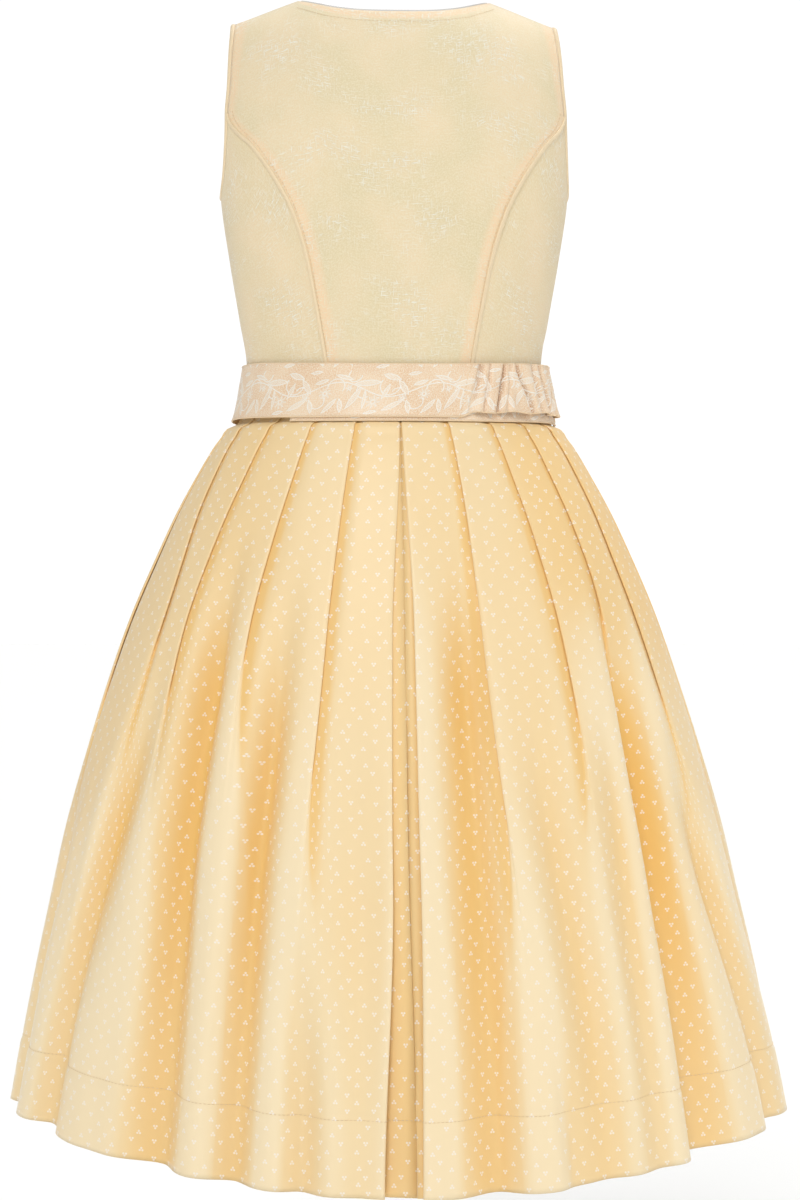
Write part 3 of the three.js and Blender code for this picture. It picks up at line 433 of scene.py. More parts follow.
def jacquard_figure(cloth):
    """Distance in millimetres inside the nearest leaf, petal or stem of the figure, negative outside."""
    places = (cloth.across * FIGURE_SCALE, cloth.up * FIGURE_SCALE)

    def wrapped(value, size):
        return cloth.math("WRAP", value, size / 2, -size / 2)

    def offsets(shape):
        middle = (shape["across"], shape["up"])
        return [wrapped(place - at, size) for place, at, size in zip(places, middle, REPEAT)]

    def turned(dx, dy, degrees):
        c, s = math.cos(math.radians(degrees)), math.sin(math.radians(degrees))
        return dx * c + dy * s, dy * c - dx * s

    def distance(dx, dy):
        return cloth.math("SQRT", dx * dx + dy * dy)

    height = places[1] - (wave(places[0], REPEAT[0]) * STEM_SWING + STEM_HEIGHT)
    depths = [STEM_HALF_WIDTH - abs(wrapped(height, REPEAT[1]))]
    for leaf in LEAVES:
        along, beside = turned(*offsets(leaf), leaf["turn"])
        share = along * (2 / leaf["length"])
        depths.append(share * share * (-leaf["width"] / 2) + leaf["width"] / 2 - abs(beside))
    for flower in FLOWERS:
        dx, dy = offsets(flower)
        size = flower["size"]
        turn = cloth.math("ARCTAN2", dy, dx) * flower["petals"]
        reach = cloth.math("COSINE", turn) * (0.3 * size) + 0.68 * size
        radius = distance(dx, dy)
        depths.append(cloth.math("MINIMUM", reach - radius, radius - 0.2 * size))
    for scroll in SCROLLS:
        dx, dy = offsets(scroll)
        along, _ = turned(dx, dy, scroll["turn"])
        ring = STEM_HALF_WIDTH - abs(distance(dx, dy) - scroll["radius"])
        depths.append(cloth.math("MINIMUM", ring, along + 0.35 * scroll["radius"]))
    inside = depths[0]
    for depth in depths[1:]:
        inside = cloth.math("MAXIMUM", inside, depth)
    return inside


def jacquard_material():
    """Jacquard: outlined, hatched cream leaves and flowers on a ribbed peach ground, low in contrast, with
    painted shade in the puckers of the band.
    """
    rib_pitch = 1.5
    hatch_pitch = 1.4
    cloth = Cloth("apron_jacquard", roughness=0.45, sheen=0.25, specular=0.45)
    depth = jacquard_figure(cloth)
    grain = cloth.noise(0.9, 1.6, detail=2, roughness=0.7)
    wide = cloth.noise(0.03, 0.03, detail=2).ramp(0.35, 0.65)
    ground = cloth.mixed(wide, (0.77, 0.50, 0.27), (0.86, 0.64, 0.41))
    # Painted shade: darker brown in the valleys of the elastic stretch's puckers, where the tint is high.
    ground = cloth.mixed(cloth.tint(), ground, (0.52, 0.27, 0.11))
    ground = cloth.mixed(grain.ramp(0.45, 0.62), ground, (0.91, 0.79, 0.64))
    rib = wave(cloth.across, rib_pitch)
    ground = cloth.mixed(rib.ramp(-1, 1, 0, 0.22), ground, (0.92, 0.80, 0.66))
    line = depth.ramp(-0.25, 0.2)
    core = depth.ramp(0.6, 0.95)
    hatch = wave(cloth.across * 0.6 + cloth.up, hatch_pitch)
    filled = cloth.mixed(hatch.ramp(-1, 1, 0.25, 0.9), ground, (0.88, 0.82, 0.71))
    figure = cloth.mixed(core, (0.92, 0.88, 0.80), filled)
    worn = cloth.noise(0.7, 0.9, detail=3, roughness=0.7).ramp(0.34, 0.54, 0.5, 1)
    colour = cloth.mixed(line * worn, ground, figure)
    return cloth.finish(colour, grain * 0.5 + (rib * 0.12 + line * 0.8), 0.2, 0.8)


def plain_material(name, colour, roughness, sheen, specular, pitch, relief):
    """One colour with a fine thread grain."""
    cloth = Cloth(name, roughness, sheen, specular)
    grain = cloth.noise(2, 2, detail=2)
    darker = tuple(0.86 * part for part in colour)
    varied = cloth.mixed(grain.ramp(0.3, 0.7), darker, colour)
    return cloth.finish(varied, weave(cloth, pitch) * 0.6 + grain, relief, 1)


BODICE = bodice_material()
COTTON = skirt_material()
JACQUARD = jacquard_material()
THREAD, PICOT, BIAS, EDGE, PEARL = (plain_material(**look) for look in table(
    "name colour roughness sheen specular pitch relief",
    ("sewing_thread", (0.90, 0.68, 0.42), 0.5, 0.2, 0.4, 0.2, 0.03),
    ("picot_cotton", (0.80, 0.79, 0.77), 0.8, 0, 0.1, 0.4, 0.12),
    ("bias_cotton", (0.93, 0.755, 0.50), 0.55, 0.25, 0.4, 0.45, 0.08),
    ("band_edge_cotton", (0.93, 0.72, 0.48), 0.5, 0.25, 0.4, 0.4, 0.06),
    ("button_pearl", (0.90, 0.82, 0.66), 0.18, 0, 0.6, 3, 0.02),
))


# Meshes

def link(name, data):
    """A new object in the scene for a mesh, light or camera."""
    thing = bpy.data.objects.new(name, data)
    bpy.context.scene.collection.objects.link(thing)
    return thing


def mesh_piece(name, points, faces, chart, material, slot, *nodes):
    """A smooth mesh from points in millimetres, with a place on the cloth for each point and the solids that
    it stands for. The slot is not used."""
    mesh = bpy.data.meshes.new(name)
    mesh.from_pydata((np.asarray(points) * MM).tolist(), [], faces.tolist())
    layer = mesh.uv_layers.new(name="cloth")
    corners = np.zeros(len(mesh.loops), int)
    mesh.loops.foreach_get("vertex_index", corners)
    layer.uv.foreach_set("vector", np.asarray(chart, np.float32)[corners].ravel())
    mesh.polygons.foreach_set("use_smooth", [True] * len(mesh.polygons))
    mesh.materials.append(material)
    piece = link(name, mesh)
    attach(piece, BODY_NAME)
    if nodes:
        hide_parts(*nodes)
    return piece


def grid_faces(rows, columns, ring=False, tube=False):
    """Quads of a grid whose rows run upwards and whose columns run anticlockwise seen from above. In a
    ring the last row meets the first, and in a tube the last column meets the first."""
    index = np.arange(rows * columns).reshape(rows, columns)
    if ring:
        index = np.concatenate([index, index[:1]])
    if tube:
        index = np.concatenate([index, index[:, :1]], axis=1)
    quads = np.stack([index[:-1, :-1], index[:-1, 1:], index[1:, 1:], index[1:, :-1]], axis=-1)
    return quads.reshape(-1, 4)


def sheet_piece(
    name, points, thickness, material, slot, node, chart=None, tint=None
):
    """A sheet of cloth from a grid of points, with its thickness to both sides of them."""
    rows, columns = points.shape[:2]
    chart = grid_chart(points) if chart is None else chart
    faces = grid_faces(rows, columns)
    piece = mesh_piece(name, points.reshape(-1, 3), faces, chart.reshape(-1, 2), material, slot, node)
    if tint is not None:
        layer = piece.data.attributes.new("tint", "FLOAT", "POINT")
        layer.data.foreach_set("value", tint.astype(np.float32).ravel())
    solid = piece.modifiers.new("thickness", "SOLIDIFY")
    solid.thickness = thickness * MM
    solid.offset = 0


def arc_lengths(line):
    """Length along a line of points up to each of them."""
    steps = np.linalg.norm(np.diff(line, axis=0), axis=1)
    return np.concatenate([[0], np.cumsum(steps)])


def grid_chart(points):
    """Place on the cloth of each point of a grid: millimetres across from the middle, and up."""
    across = np.array([arc_lengths(row) for row in points])
    across = across - across[:, across.shape[1] // 2][:, None]
    middle = points[:, points.shape[1] // 2]
    up = np.repeat(arc_lengths(middle)[:, None], points.shape[1], axis=1)
    return np.stack([across, up], axis=-1)


def unit(vectors):
    return vectors / np.maximum(np.linalg.norm(vectors, axis=-1, keepdims=True), 1e-9)


def on_oval(degrees, half_width, half_depth, height, out):
    """Points round an ellipse: out is the distance from it, square to it."""
    angle = np.radians(degrees)
    across, along = np.sin(angle), -np.cos(angle)
    at = np.stack([half_width * across, half_depth * along, height], axis=-1)
    way = unit(np.stack([across / half_width, along / half_depth, 0 * angle], axis=-1))
    return at + way * out[..., None]


def grid_normals(points):
    """Outward normals of a grid."""
    return unit(np.cross(np.gradient(points, axis=1), np.gradient(points, axis=0)))


def ring_ways(line):
    """The way along a closed line at each of its points."""
    return unit(np.roll(line, -1, axis=0) - np.roll(line, 1, axis=0))


def swept(line, normals, section, ring=False):
    """Points, faces and charts of a closed sweep: section is a list of (out, up) in each point's frame."""
    along = ring_ways(line) if ring else unit(np.gradient(line, axis=0))
    up = unit(np.cross(along, normals))
    out = unit(np.cross(up, along))
    section = np.asarray(section, float)
    points = line[:, None] + out[:, None] * section[None, :, :1] + up[:, None] * section[None, :, 1:]
    count, sides = points.shape[:2]
    length = np.repeat(arc_lengths(line)[:, None], sides, axis=1)
    girth = np.repeat(np.linspace(0, 2 * math.pi, sides)[None] * np.abs(section).max(), count, axis=0)
    chart = np.stack([length, girth], axis=-1)
    return points.reshape(-1, 3), grid_faces(count, sides, ring, tube=True), chart.reshape(-1, 2)


def round_section(half_out, half_up, sides):
    turns = np.linspace(0, 2 * math.pi, sides, endpoint=False)
    return np.stack([half_out * np.cos(turns), half_up * np.sin(turns)], axis=-1)


def resampled(line, normals, step):
    """The line and its normals again at about even steps."""
    lengths = arc_lengths(line)
    count = max(2, int(round(lengths[-1] / step)) + 1)
    at = np.linspace(0, lengths[-1], count)
    points, ways = (
        np.stack([np.interp(at, lengths, column) for column in rows.T], axis=-1) for rows in (line, normals)
    )
    return points, unit(ways)


def joined(parts):
    """One set of points, faces and charts from several."""
    points, faces, charts = zip(*parts)
    offsets = np.cumsum([0] + [len(part) for part in points[:-1]])
    moved = [part + offset for part, offset in zip(faces, offsets)]
    return np.concatenate(points), np.concatenate(moved), np.concatenate(charts)


STITCH_LENGTH = 2.1
STITCH_PITCH = 3.0
STITCH_RADIUS = 0.22

# Rings of one stitch: place along it, girth and height above the cloth
STITCH_RINGS = ((-0.5, 0.2, -0.25), (-0.3, 1.0, 0.15), (0.3, 1.0, 0.15), (0.5, 0.2, -0.25))


def stitch_piece(name, lines, slot):
    """Rows of single stitches along lines of (points, normals) that lie on the cloth."""
    ring = round_section(STITCH_RADIUS, STITCH_RADIUS, 4)
    ends = [[3, 2, 1, 0], [12, 13, 14, 15]]
    faces = np.concatenate([grid_faces(4, 4, tube=True), ends])
    chart = np.stack([np.repeat([0, 0.6, 1.4, 2.0], 4), np.tile([0, 0.4, 0.8, 1.2], 4)], axis=-1)
    parts = []
    for line, normals in lines:
        points, ways = resampled(line, normals, STITCH_PITCH)
        along = unit(np.gradient(points, axis=0))
        beside = unit(np.cross(along, ways))
        for at, way, out, side in zip(points, along, ways, beside):
            rings = []
            for place, girth, lift in STITCH_RINGS:
                middle = at + way * place * STITCH_LENGTH
                rings.append(middle + out * (lift + girth * ring[:, :1]) + side * girth * ring[:, 1:])
            parts.append((np.concatenate(rings), faces, chart))
    mesh_piece(name, *joined(parts), THREAD, slot)


# Bodice

NECK_CORNER = NECK_HALF_WIDTH / TIP_HALF_WIDTH
ARMHOLE_SHARE = (ARMHOLE_CORNER - WAIST) / (TIP - WAIST)
UNDERARM_SHARE = (UNDERARM - WAIST) / (TIP - WAIST)


def shoulder_line(x):
    fall = (NECK_POINT - TIP) / (TIP_HALF_WIDTH - NECK_HALF_WIDTH)
    past = np.abs(x) - NECK_HALF_WIDTH
    inside = NECK_POINT + fall * NECK_HALF_WIDTH * (1 - (x / NECK_HALF_WIDTH) ** 2) / 2
    return np.where(past >= 0, NECK_POINT - past * fall, inside)


def body_point(angle, height):
    exponent = 2 / body_square(height)
    x = body_width(height) * power(np.sin(angle), exponent)
    depth = body_depth(height) * shoulder_share(shoulder_line(x) - height)
    return np.stack([x, -depth * power(np.cos(angle), exponent), height + 0 * x], axis=-1)


def on_body(angle, height):
    """Points of the bodice and the ways out of it."""
    step = 0.004
    drop = 0.25
    at = body_point(angle, height)
    around = body_point(angle + step, height) - body_point(angle - step, height)
    lower = np.minimum(height - drop, shoulder_line(at[..., 0]) - 2 * drop)
    rise = body_point(angle, lower + drop) - body_point(angle, lower - drop)
    return at, unit(np.cross(around, rise))


def angle_at(half_width, height, front=False):
    """The angle from the centre back at which the bodice is that far from the middle plane."""
    share = np.minimum(1, half_width / body_width(height)) ** (body_square(height) / 2)
    angle = np.arcsin(share)
    return math.pi - angle if front else angle


def top_edge(x, neck_depth):
    neck = NECK_POINT - neck_depth * (1 - np.abs(x / NECK_HALF_WIDTH) ** NECK_CURVE)
    return np.where(np.abs(x) >= NECK_HALF_WIDTH - 0.01, shoulder_line(x), neck)


def back_bound(height):
    """1 where the back's edge has moved in to leave room for the armhole's binding, and 0 below."""
    return smooth(ARMHOLE_CORNER - 20, ARMHOLE_CORNER - 2, height)


def panel_cells(u, share, edge, neck_depth, front):
    """Points and normals of a panel: u runs from the centre at 0 to its edge at 1 or -1, and share up."""
    side = mix(WAIST, TIP, share)
    outer = smooth(NECK_CORNER, 1, np.abs(u))
    bound = smooth(UNDERARM, UNDERARM + 32, side) if front else back_bound(side)
    x = np.abs(u) * edge(side) - SET_BACK * bound * outer
    height = mix(WAIST, top_edge(np.abs(u) * TIP_HALF_WIDTH, neck_depth), share)
    if front:
        height = height - SET_BACK * (1 - bound) * smooth(UNDERARM - 40, UNDERARM, side) * outer
    angle = angle_at(x, height, front)
    if front:
        at_side = (np.abs(u) == 1) & (side <= UNDERARM + 0.01)
        angle = np.where(at_side, math.pi / 2, angle)
    at, normal = on_body(np.where(u < 0, -angle, angle), height)
    on_shoulder = (share >= 1 - 1e-9) & (np.abs(u) >= NECK_CORNER - 0.001)
    for values in (at, normal):
        values[..., 1] = np.where(on_shoulder, 0, values[..., 1])
    return at, unit(normal)


def shares(*stretches):
    """Shares from (start, end, count) stretches, each stretch without its end but the last."""
    parts = [np.linspace(start, end, count, endpoint=False) for start, end, count in stretches]
    return np.concatenate([*parts, [stretches[-1][1]]])


UP_BACK = shares((0, ARMHOLE_SHARE, 76), (ARMHOLE_SHARE, 0.95, 24), (0.95, 1, 10))
UP_FRONT = shares((0, UNDERARM_SHARE, 54), (UNDERARM_SHARE, 0.64, 18), (0.64, 0.95, 28), (0.95, 1, 10))
HALF_ACROSS = shares((0, NECK_CORNER, 34), (NECK_CORNER, 1, 26))


def turned_over(parts):
    """The same grids with their columns in the other order."""
    return [part[:, ::-1] for part in parts]


def front_side_edge(height):
    return np.where(height < UNDERARM, body_width(height), front_edge(height))


def back_centre_cells():
    u = np.concatenate([-HALF_ACROSS[:0:-1], HALF_ACROSS])
    return panel_cells(u[None, :], UP_BACK[:, None], back_edge, BACK_NECK_DEPTH, False)


def front_cells(sign):
    u = sign * HALF_ACROSS
    cells = panel_cells(u[None, :], UP_FRONT[:, None], front_side_edge, FRONT_NECK_DEPTH, True)
    return turned_over(cells) if sign > 0 else cells


def armhole_height(share):
    return UNDERARM + (ARMHOLE_CORNER - UNDERARM) * (1 - np.sqrt(1 - (1 - share) ** 2))


def back_side_cells(sign):
    up = UP_BACK[UP_BACK <= ARMHOLE_SHARE + 1e-9][:, None]
    u = np.linspace(0, 1, 50)[None, :] ** 1.8
    side = mix(WAIST, TIP, up)
    height = mix(WAIST, armhole_height(u) - SET_BACK * smooth(0, 0.35, u), up / ARMHOLE_SHARE)
    angle = mix(angle_at(back_edge(side) - SET_BACK * back_bound(side), side), math.pi / 2, u)
    cells = on_body(sign * angle, height + 0 * angle)
    return cells if sign > 0 else turned_over(cells)


# Soft creases of the bodice: from one point of its outline to another, in the view from behind or in
# front, with the width and the depth of each
CREASE_COLUMNS = "x1 z1 x2 z2 width depth"
BACK_CREASES = table(
    CREASE_COLUMNS,
    (118, -96, 84, -62, 7, 0.9), (-117, -92, -86, -70, 6, 0.7), (52, -2, 57, -24, 4, 0.8),
    (-56, -6, -40, -30, 6, 0.5), (112, -246, 74, -262, 6, 0.9), (-110, -250, -70, -262, 6, 0.9),
    (96, -120, 70, -205, 9, 0.6), (-97, -128, -72, -212, 10, 0.6), (20, -255, -22, -262, 7, 0.5),
    (104, -170, 98, -225, 8, 0.7), (-106, -175, -100, -235, 8, 0.7),
)
FRONT_CREASES = table(
    CREASE_COLUMNS,
    (96, -95, 62, -110, 7, 0.9), (-98, -100, -60, -118, 8, 0.8), (104, -240, 50, -258, 7, 0.9),
    (-102, -246, -48, -260, 7, 0.8), (30, -150, 36, -230, 8, 0.5), (-34, -140, -40, -225, 9, 0.6),
    (88, -40, 70, -90, 7, 0.6), (-86, -44, -68, -96, 7, 0.6),
)
CREASE_BOW = 0.06


def creased(at, normal, front):
    """The cells with the bodice's creases pressed in along their normals."""
    depth = np.zeros(at.shape[:2])
    for crease in FRONT_CREASES if front else BACK_CREASES:
        start = np.array([crease["x1"], crease["z1"]], float)
        way = np.array([crease["x2"], crease["z2"]], float) - start
        length = np.linalg.norm(way)
        offset = at[..., [0, 2]] - start
        share = offset @ way / length ** 2
        beside = (offset[..., 0] * way[1] - offset[..., 1] * way[0]) / length
        beside = beside - CREASE_BOW * length * np.sin(math.pi * np.clip(share, 0, 1))
        ends = smooth(-0.15, 0.35, share) * (1 - smooth(0.6, 1.15, share))
        depth += crease["depth"] * ends * np.exp(-((beside / crease["width"]) ** 2))
    return at - normal * depth[..., None]


def double_cloth(points):
    """1 along the neck and beside the armhole and princess seams, where seam allowances lie under."""
    from_first = np.array([arc_lengths(row) for row in points])
    from_last = from_first[:, -1:] - from_first
    first, last = np.abs(points[0, [0, -1], 0])
    nearest = from_first if first > last else from_last
    if abs(first - last) < 1:
        nearest = np.minimum(from_first, from_last)
    drop = np.array([arc_lengths(column[::-1])[::-1] for column in points.transpose(1, 0, 2)]).T
    from_neck = np.where(np.abs(points[-1:, :, 0]) < NECK_HALF_WIDTH, drop, math.inf)
    return np.maximum(1 - smooth(6, 13, nearest), 1 - smooth(7, 9.5, from_neck))


def bodice_panel(name, cells, front):
    at, normal = cells
    points = creased(at, normal, front)
    tint = np.full(points.shape[:2], 0.2) if "side" in name else double_cloth(points)
    sheet_piece(
        f"bodice_{name}", points, BODICE_CLOTH, BODICE, "bodice_cloth", name, tint=tint
    )


def bodice():
    bodice_panel("back_centre", back_centre_cells(), False)
    for side, sign in (("right", 1), ("left", -1)):
        bodice_panel(f"back_side_{side}", back_side_cells(sign), False)
        bodice_panel(f"front_{side}", front_cells(sign), True)
        at, normal = back_side_cells(sign)
        column = 0 if sign > 0 else -1
        line, ways = resampled(at[3:, column], normal[3:, column], 2)
        cord = swept(line + ways * PIPING_LIFT, ways, round_section(PIPING_RADIUS, PIPING_RADIUS + 0.4, 12))
        mesh_piece(f"princess_piping_{side}", *cord, BIAS, "bodice_cloth", f"back_piping_{side}")
        armhole_binding(side, sign)


def armhole_edge(sign):
    """The edge of one armhole as a ring of points and normals, from the underarm up the back."""
    under = slice(None, None, -1) if sign > 0 else slice(None)
    back_column = -1 if sign > 0 else 0
    front_column = 0 if sign > 0 else -1
    up = UP_BACK > ARMHOLE_SHARE + 0.005
    down = (UP_FRONT > UNDERARM_SHARE + 0.005) & (UP_FRONT < 1)
    return [
        np.concatenate([side[-1][under], back[up, back_column], front[down, front_column][::-1]])
        for side, back, front in zip(back_side_cells(sign), back_centre_cells(), front_cells(sign))
    ]


def armhole_binding(side, sign):
    line, ways = armhole_edge(sign)
    inwards = unit(np.cross(ring_ways(line), ways)) * sign
    middle = line + inwards * (BINDING_WIDTH / 2)
    section = round_section(BINDING_THICKNESS / 2, BINDING_WIDTH / 2 + 0.2, 14)
    tube = swept(middle, ways, section, ring=True)
    mesh_piece(f"armhole_band_{side}", *tube, BIAS, "bodice_cloth", f"armhole_binding_{side}")


def bodice_stitches():
    """Topstitching under the neck edge and beside the princess seams."""
    lift = BODICE_CLOTH / 2 + 0.1
    below_neck = 8
    row_of_front = -9
    below_armhole = UP_BACK <= ARMHOLE_SHARE
    lines = []
    for front, cells in ((False, back_centre_cells()), (True, front_cells(1)), (True, front_cells(-1))):
        at, normal = cells
        points = creased(at, normal, front) + normal * lift
        inside = np.abs(at[-1, :, 0]) < NECK_HALF_WIDTH + 1
        heights = at[:, at.shape[1] // 2, 2]
        row = row_of_front if front else int(np.argmin(np.abs(heights - (heights[-1] - below_neck))))
        lines.append((points[row][inside], normal[row][inside]))
        for column in () if front else (-3, 2):
            lines.append((points[below_armhole, column], normal[below_armhole, column]))
    stitch_piece("bodice_stitches", lines, "bodice_cloth")


# Neck edging

TRIM_HEIGHT = 2.6
TRIM_FOOT = 1.6
TRIM_WALL = 0.8
PICOT_PITCH = 2.3
PICOT_RADIUS = 0.85
PICOT_THREAD = 0.36


def neck_edge(cells):
    """Points, normals and rises of the neck edge of a panel's cells."""
    at, normal = cells
    inside = np.abs(at[-1, :, 0]) < NECK_HALF_WIDTH - 1
    rise = unit(at[-1] - at[-2])
    return at[-1][inside], normal[-1][inside], rise[inside]


def neck_edging(name, edges, node):
    """A narrow strip with a row of small loops on its upper edge, behind the neck edge."""
    line, ways, rises = (np.concatenate(parts) for parts in zip(*edges))
    base = line - ways * (BODICE_WALL / 2 + SEAM_GAP + TRIM_WALL / 2)
    ways = unit(ways * [1, 1, 0.25])
    rises = unit(rises + [0, 0, 1.5])
    strip_rise = TRIM_HEIGHT - 2 * PICOT_RADIUS + 0.7
    high = base + rises * strip_rise
    middle = (base - rises * TRIM_FOOT + high) / 2
    parts = [swept(middle, ways, round_section(TRIM_WALL / 2, (strip_rise + TRIM_FOOT) / 2, 8))]
    tops, outs = resampled(high, ways, PICOT_PITCH)
    sides = unit(np.gradient(tops, axis=0))
    ups = unit(np.cross(outs, sides))
    ups = ups * np.sign(ups[:, 2:])
    turns = np.linspace(-0.15 * math.pi, 1.15 * math.pi, 9)[:, None]
    for at, out, side, up in zip(tops, outs, sides, ups):
        loop = at + PICOT_RADIUS * (side * np.cos(turns) + up * np.sin(turns))
        outwards = np.repeat(out[None], len(turns), axis=0)
        parts.append(swept(loop, outwards, round_section(PICOT_THREAD, PICOT_THREAD, 6)))
    mesh_piece(name, *joined(parts), PICOT, "trim", node)


# Button strip and buttons

STRIP_CLOTH = 0.9
STRIP_LIFT = BODICE_WALL / 2 + SEAM_GAP + 0.5

# Section of a button from the middle of its face round the rim to its back: radius and rise
BUTTON_PROFILE = (
    (0.0, 1.15), (1.6, 1.1), (3.2, 0.85), (4.1, 0.55), (4.6, 0.75), (5.2, 0.95), (5.7, 0.75), (5.95, 0.2),
    (5.9, -0.5), (5.3, -1.05), (0.0, -1.15),
)
BUTTON_ACROSS = 12


def placket():
    """The strip down the centre front, over the meeting edges of the two fronts."""
    reach = PLACKET_WIDTH / 2 + 1.5
    right, left = front_cells(1), front_cells(-1)
    keep_right = np.abs(right[0][0, :, 0]) <= reach
    keep_left = (np.abs(left[0][0, :, 0]) <= reach) & (left[0][0, :, 0] < -1e-6)
    at, normal = (
        np.concatenate([first[:, keep_right], second[:, keep_left]], axis=1)
        for first, second in zip(right, left)
    )
    rows = at[:, 0, 2] > BAND_TOP + 4
    points = at[rows] + normal[rows] * STRIP_LIFT
    points = np.concatenate([points[:-1], points[-1:] - [0, 0, 0.6]])
    sheet_piece(
        "button_strip", points, STRIP_CLOTH, BODICE, "bodice_cloth", "front_placket"
    )


def buttons():
    """Domed buttons with a rim, each turned round the axis of its solid."""
    turns = np.linspace(0, 2 * math.pi, 32, endpoint=False)[:, None]
    for number in range(1, BUTTON_COUNT + 1):
        node = f"button_{number}"
        low, high = (np.array(corner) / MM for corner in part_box(node))
        tilt = (high[2] - low[2] - BUTTON_ACROSS) / (2 * BUTTON_ACROSS)
        out = unit(np.array([0, 1, tilt]))
        up = unit(np.cross(out, [-1, 0, 0]))
        side = np.cross(up, out)
        points = np.concatenate([
            (low + high) / 2 + out * rise + radius * (side * np.cos(turns) + up * np.sin(turns))
            for radius, rise in BUTTON_PROFILE
        ])
        faces = grid_faces(len(BUTTON_PROFILE), len(turns), tube=True)[:, ::-1]
        mesh_piece(f"pearl_{node}", points, faces, points[:, [0, 2]], PEARL, "button", node)


# Skirt

# How far the hem swings to the wearer's right, and how much lower it hangs there for each millimetre
HEM_SWAY = 4.5
HEM_TILT = 0.008

SKIRT_ROWS = 144
DOWNS = np.linspace(0, 1, SKIRT_ROWS) ** 1.12

# Distance between the layers of a fold at the waist and at PLEATS_SET, and under the centre back at the
# hem, and how far a fold's lower layer lies from its edge
LAYER_AT_WAIST = 0.9
LAYER_AT_THIRD = 1.15
LAYER_AT_HEM = 4.5
NOSE = 1.2

# Layers under a fold's edge: 1 where the overlap shows or 0, depth in layers, and the share of the way
# back to the edge before it once the fold is open
UNDER_FOLD = ((1, 1.85, 0.32), (1, 1.15, 0.21), (0, 0.85, 0.08), (0, 0.1, 0))

# Points on the cloth between two fold edges, as shares of the way while the next fold is closed or open
ALONG = ((0.16, 0.12), (0.42, 0.28), (0.74, 0.45))

# Fine columns between the points of a pleat: up to the turn under the fold, round it, back to the
# edge, round the edge, along the cloth to the next fold and under it
STEPS_TO_TURN = 5
STEPS_OF_PLEAT = [3, 4, 5, 5, 6, 6, 5]
POINTS_OF_PLEAT = len(STEPS_OF_PLEAT) + 1
NOSE_POINT = 4
LAST_ALONG_POINT = 7
SIDE_SEAM_PLEAT = 5
SIDE_SEAM_POINT = SIDE_SEAM_PLEAT * POINTS_OF_PLEAT + 6


def skirt_depth(down):
    share = (skirt_width(down) - skirt_width(0)) / (skirt_width(1) - skirt_width(0))
    return mix(WAIST_DEPTH, HEM_DEPTH, share)


def on_skirt(degrees, down, out):
    """Points of the skirt: out is the distance from the base section, square to it."""
    height = mix(WAIST, mix(HEM_SIDE, HEM_BACK, np.cos(np.radians(degrees)) ** 2), down)
    at = on_oval(degrees, skirt_width(down), skirt_depth(down), height, out)
    at[..., 2] -= HEM_TILT * at[..., 0] * down ** 2
    at[..., 0] += HEM_SWAY * smooth(0.5, 1, down)
    return at


def trough_depth(troughs, degrees, down):
    total = 0 * degrees
    for trough in troughs:
        strength = smooth(trough["begins"], trough["full"], down)
        off = degrees - mix(trough["start"], trough["end"], smooth(trough["begins"], 1, down))
        width = np.where(off < 0, trough["near"], trough["far"])
        total = total + trough["depth"] * strength * np.exp(-((off / width) ** 2))
    return total


def pleat_angle(pleat, down):
    upper = mix(pleat["waist"], pleat["third"], smooth(0, PLEATS_SET, down))
    return mix(upper, pleat["hem"], smooth(pleat["turns"], 1, down))


def half_path(pleats, down):
    """The path of one side of the skirt at one level, as rows of (degrees, out)."""
    def layer(i):
        upper = mix(LAYER_AT_WAIST, LAYER_AT_THIRD, smooth(0, PLEATS_SET, down))
        return mix(upper, LAYER_AT_HEM, smooth(0.4, 1, down)) if i == 0 else upper

    def opened(pleat):
        return smooth(pleat["stands"] - 0.06, pleat["stands"] + 0.34, down)

    def folded(pleat):
        return 1 - smooth(pleat["stands"] - 0.04, pleat["stands"] + 0.26, down)

    path = [(0, -2 * layer(0))]
    for i, pleat in enumerate(pleats):
        following = pleats[i + 1] if i + 1 < len(pleats) else None
        edge = pleat_angle(pleat, down)
        before = edge - (pleat_angle(pleats[i - 1], down) if i else 0)
        after = (pleat_angle(following, down) if following else 180) - edge
        next_open = opened(following) if following else 1
        lap = pleat["lap"] * (1 - smooth(pleat["stands"] - 0.24, pleat["stands"], down))
        angle = math.radians(edge)
        pace = math.hypot(skirt_width(down) * math.cos(angle), skirt_depth(down) * math.sin(angle))
        degrees_per = 1 / math.radians(pace)
        for shows, layers, back in UNDER_FOLD:
            degrees = mix(edge + shows * lap * degrees_per, edge - back * before, opened(pleat))
            path.append((degrees, -layers * layer(i) * folded(pleat)))
        for closed, open_share in ALONG:
            path.append((edge + mix(closed, open_share, next_open) * after, 0))
        if following:
            tuck = edge + after - mix(NOSE * degrees_per, 0.4 * after, next_open)
            path.append((tuck, -mix(1.9, 1.3, next_open) * layer(i + 1) * folded(following)))
    path.append((180, 0))
    return path


def spline(points, steps):
    """Centripetal Catmull-Rom curves through rows of points, with that many steps to each stretch."""
    first = 2 * points[:, :1] - points[:, 1:2]
    last = 2 * points[:, -1:] - points[:, -2:-1]
    held = np.concatenate([first, points, last], axis=1)
    gaps = np.maximum(np.linalg.norm(np.diff(held, axis=1), axis=-1), 1e-3) ** 0.5
    fine = []
    for i, count in enumerate(steps):
        p0, p1, p2, p3 = (held[:, i + k] for k in range(4))
        g0, g1, g2 = (gaps[:, i + k, None] for k in range(3))
        m1 = (p1 - p0) / g0 - (p2 - p0) / (g0 + g1) + (p2 - p1) / g1
        m2 = (p2 - p1) / g1 - (p3 - p1) / (g1 + g2) + (p3 - p2) / g2
        fine += [cubic(p1, p2, m1 * g1, m2 * g1, share) for share in np.arange(count) / count]
    fine.append(points[:, -1])
    return np.stack(fine, axis=1)


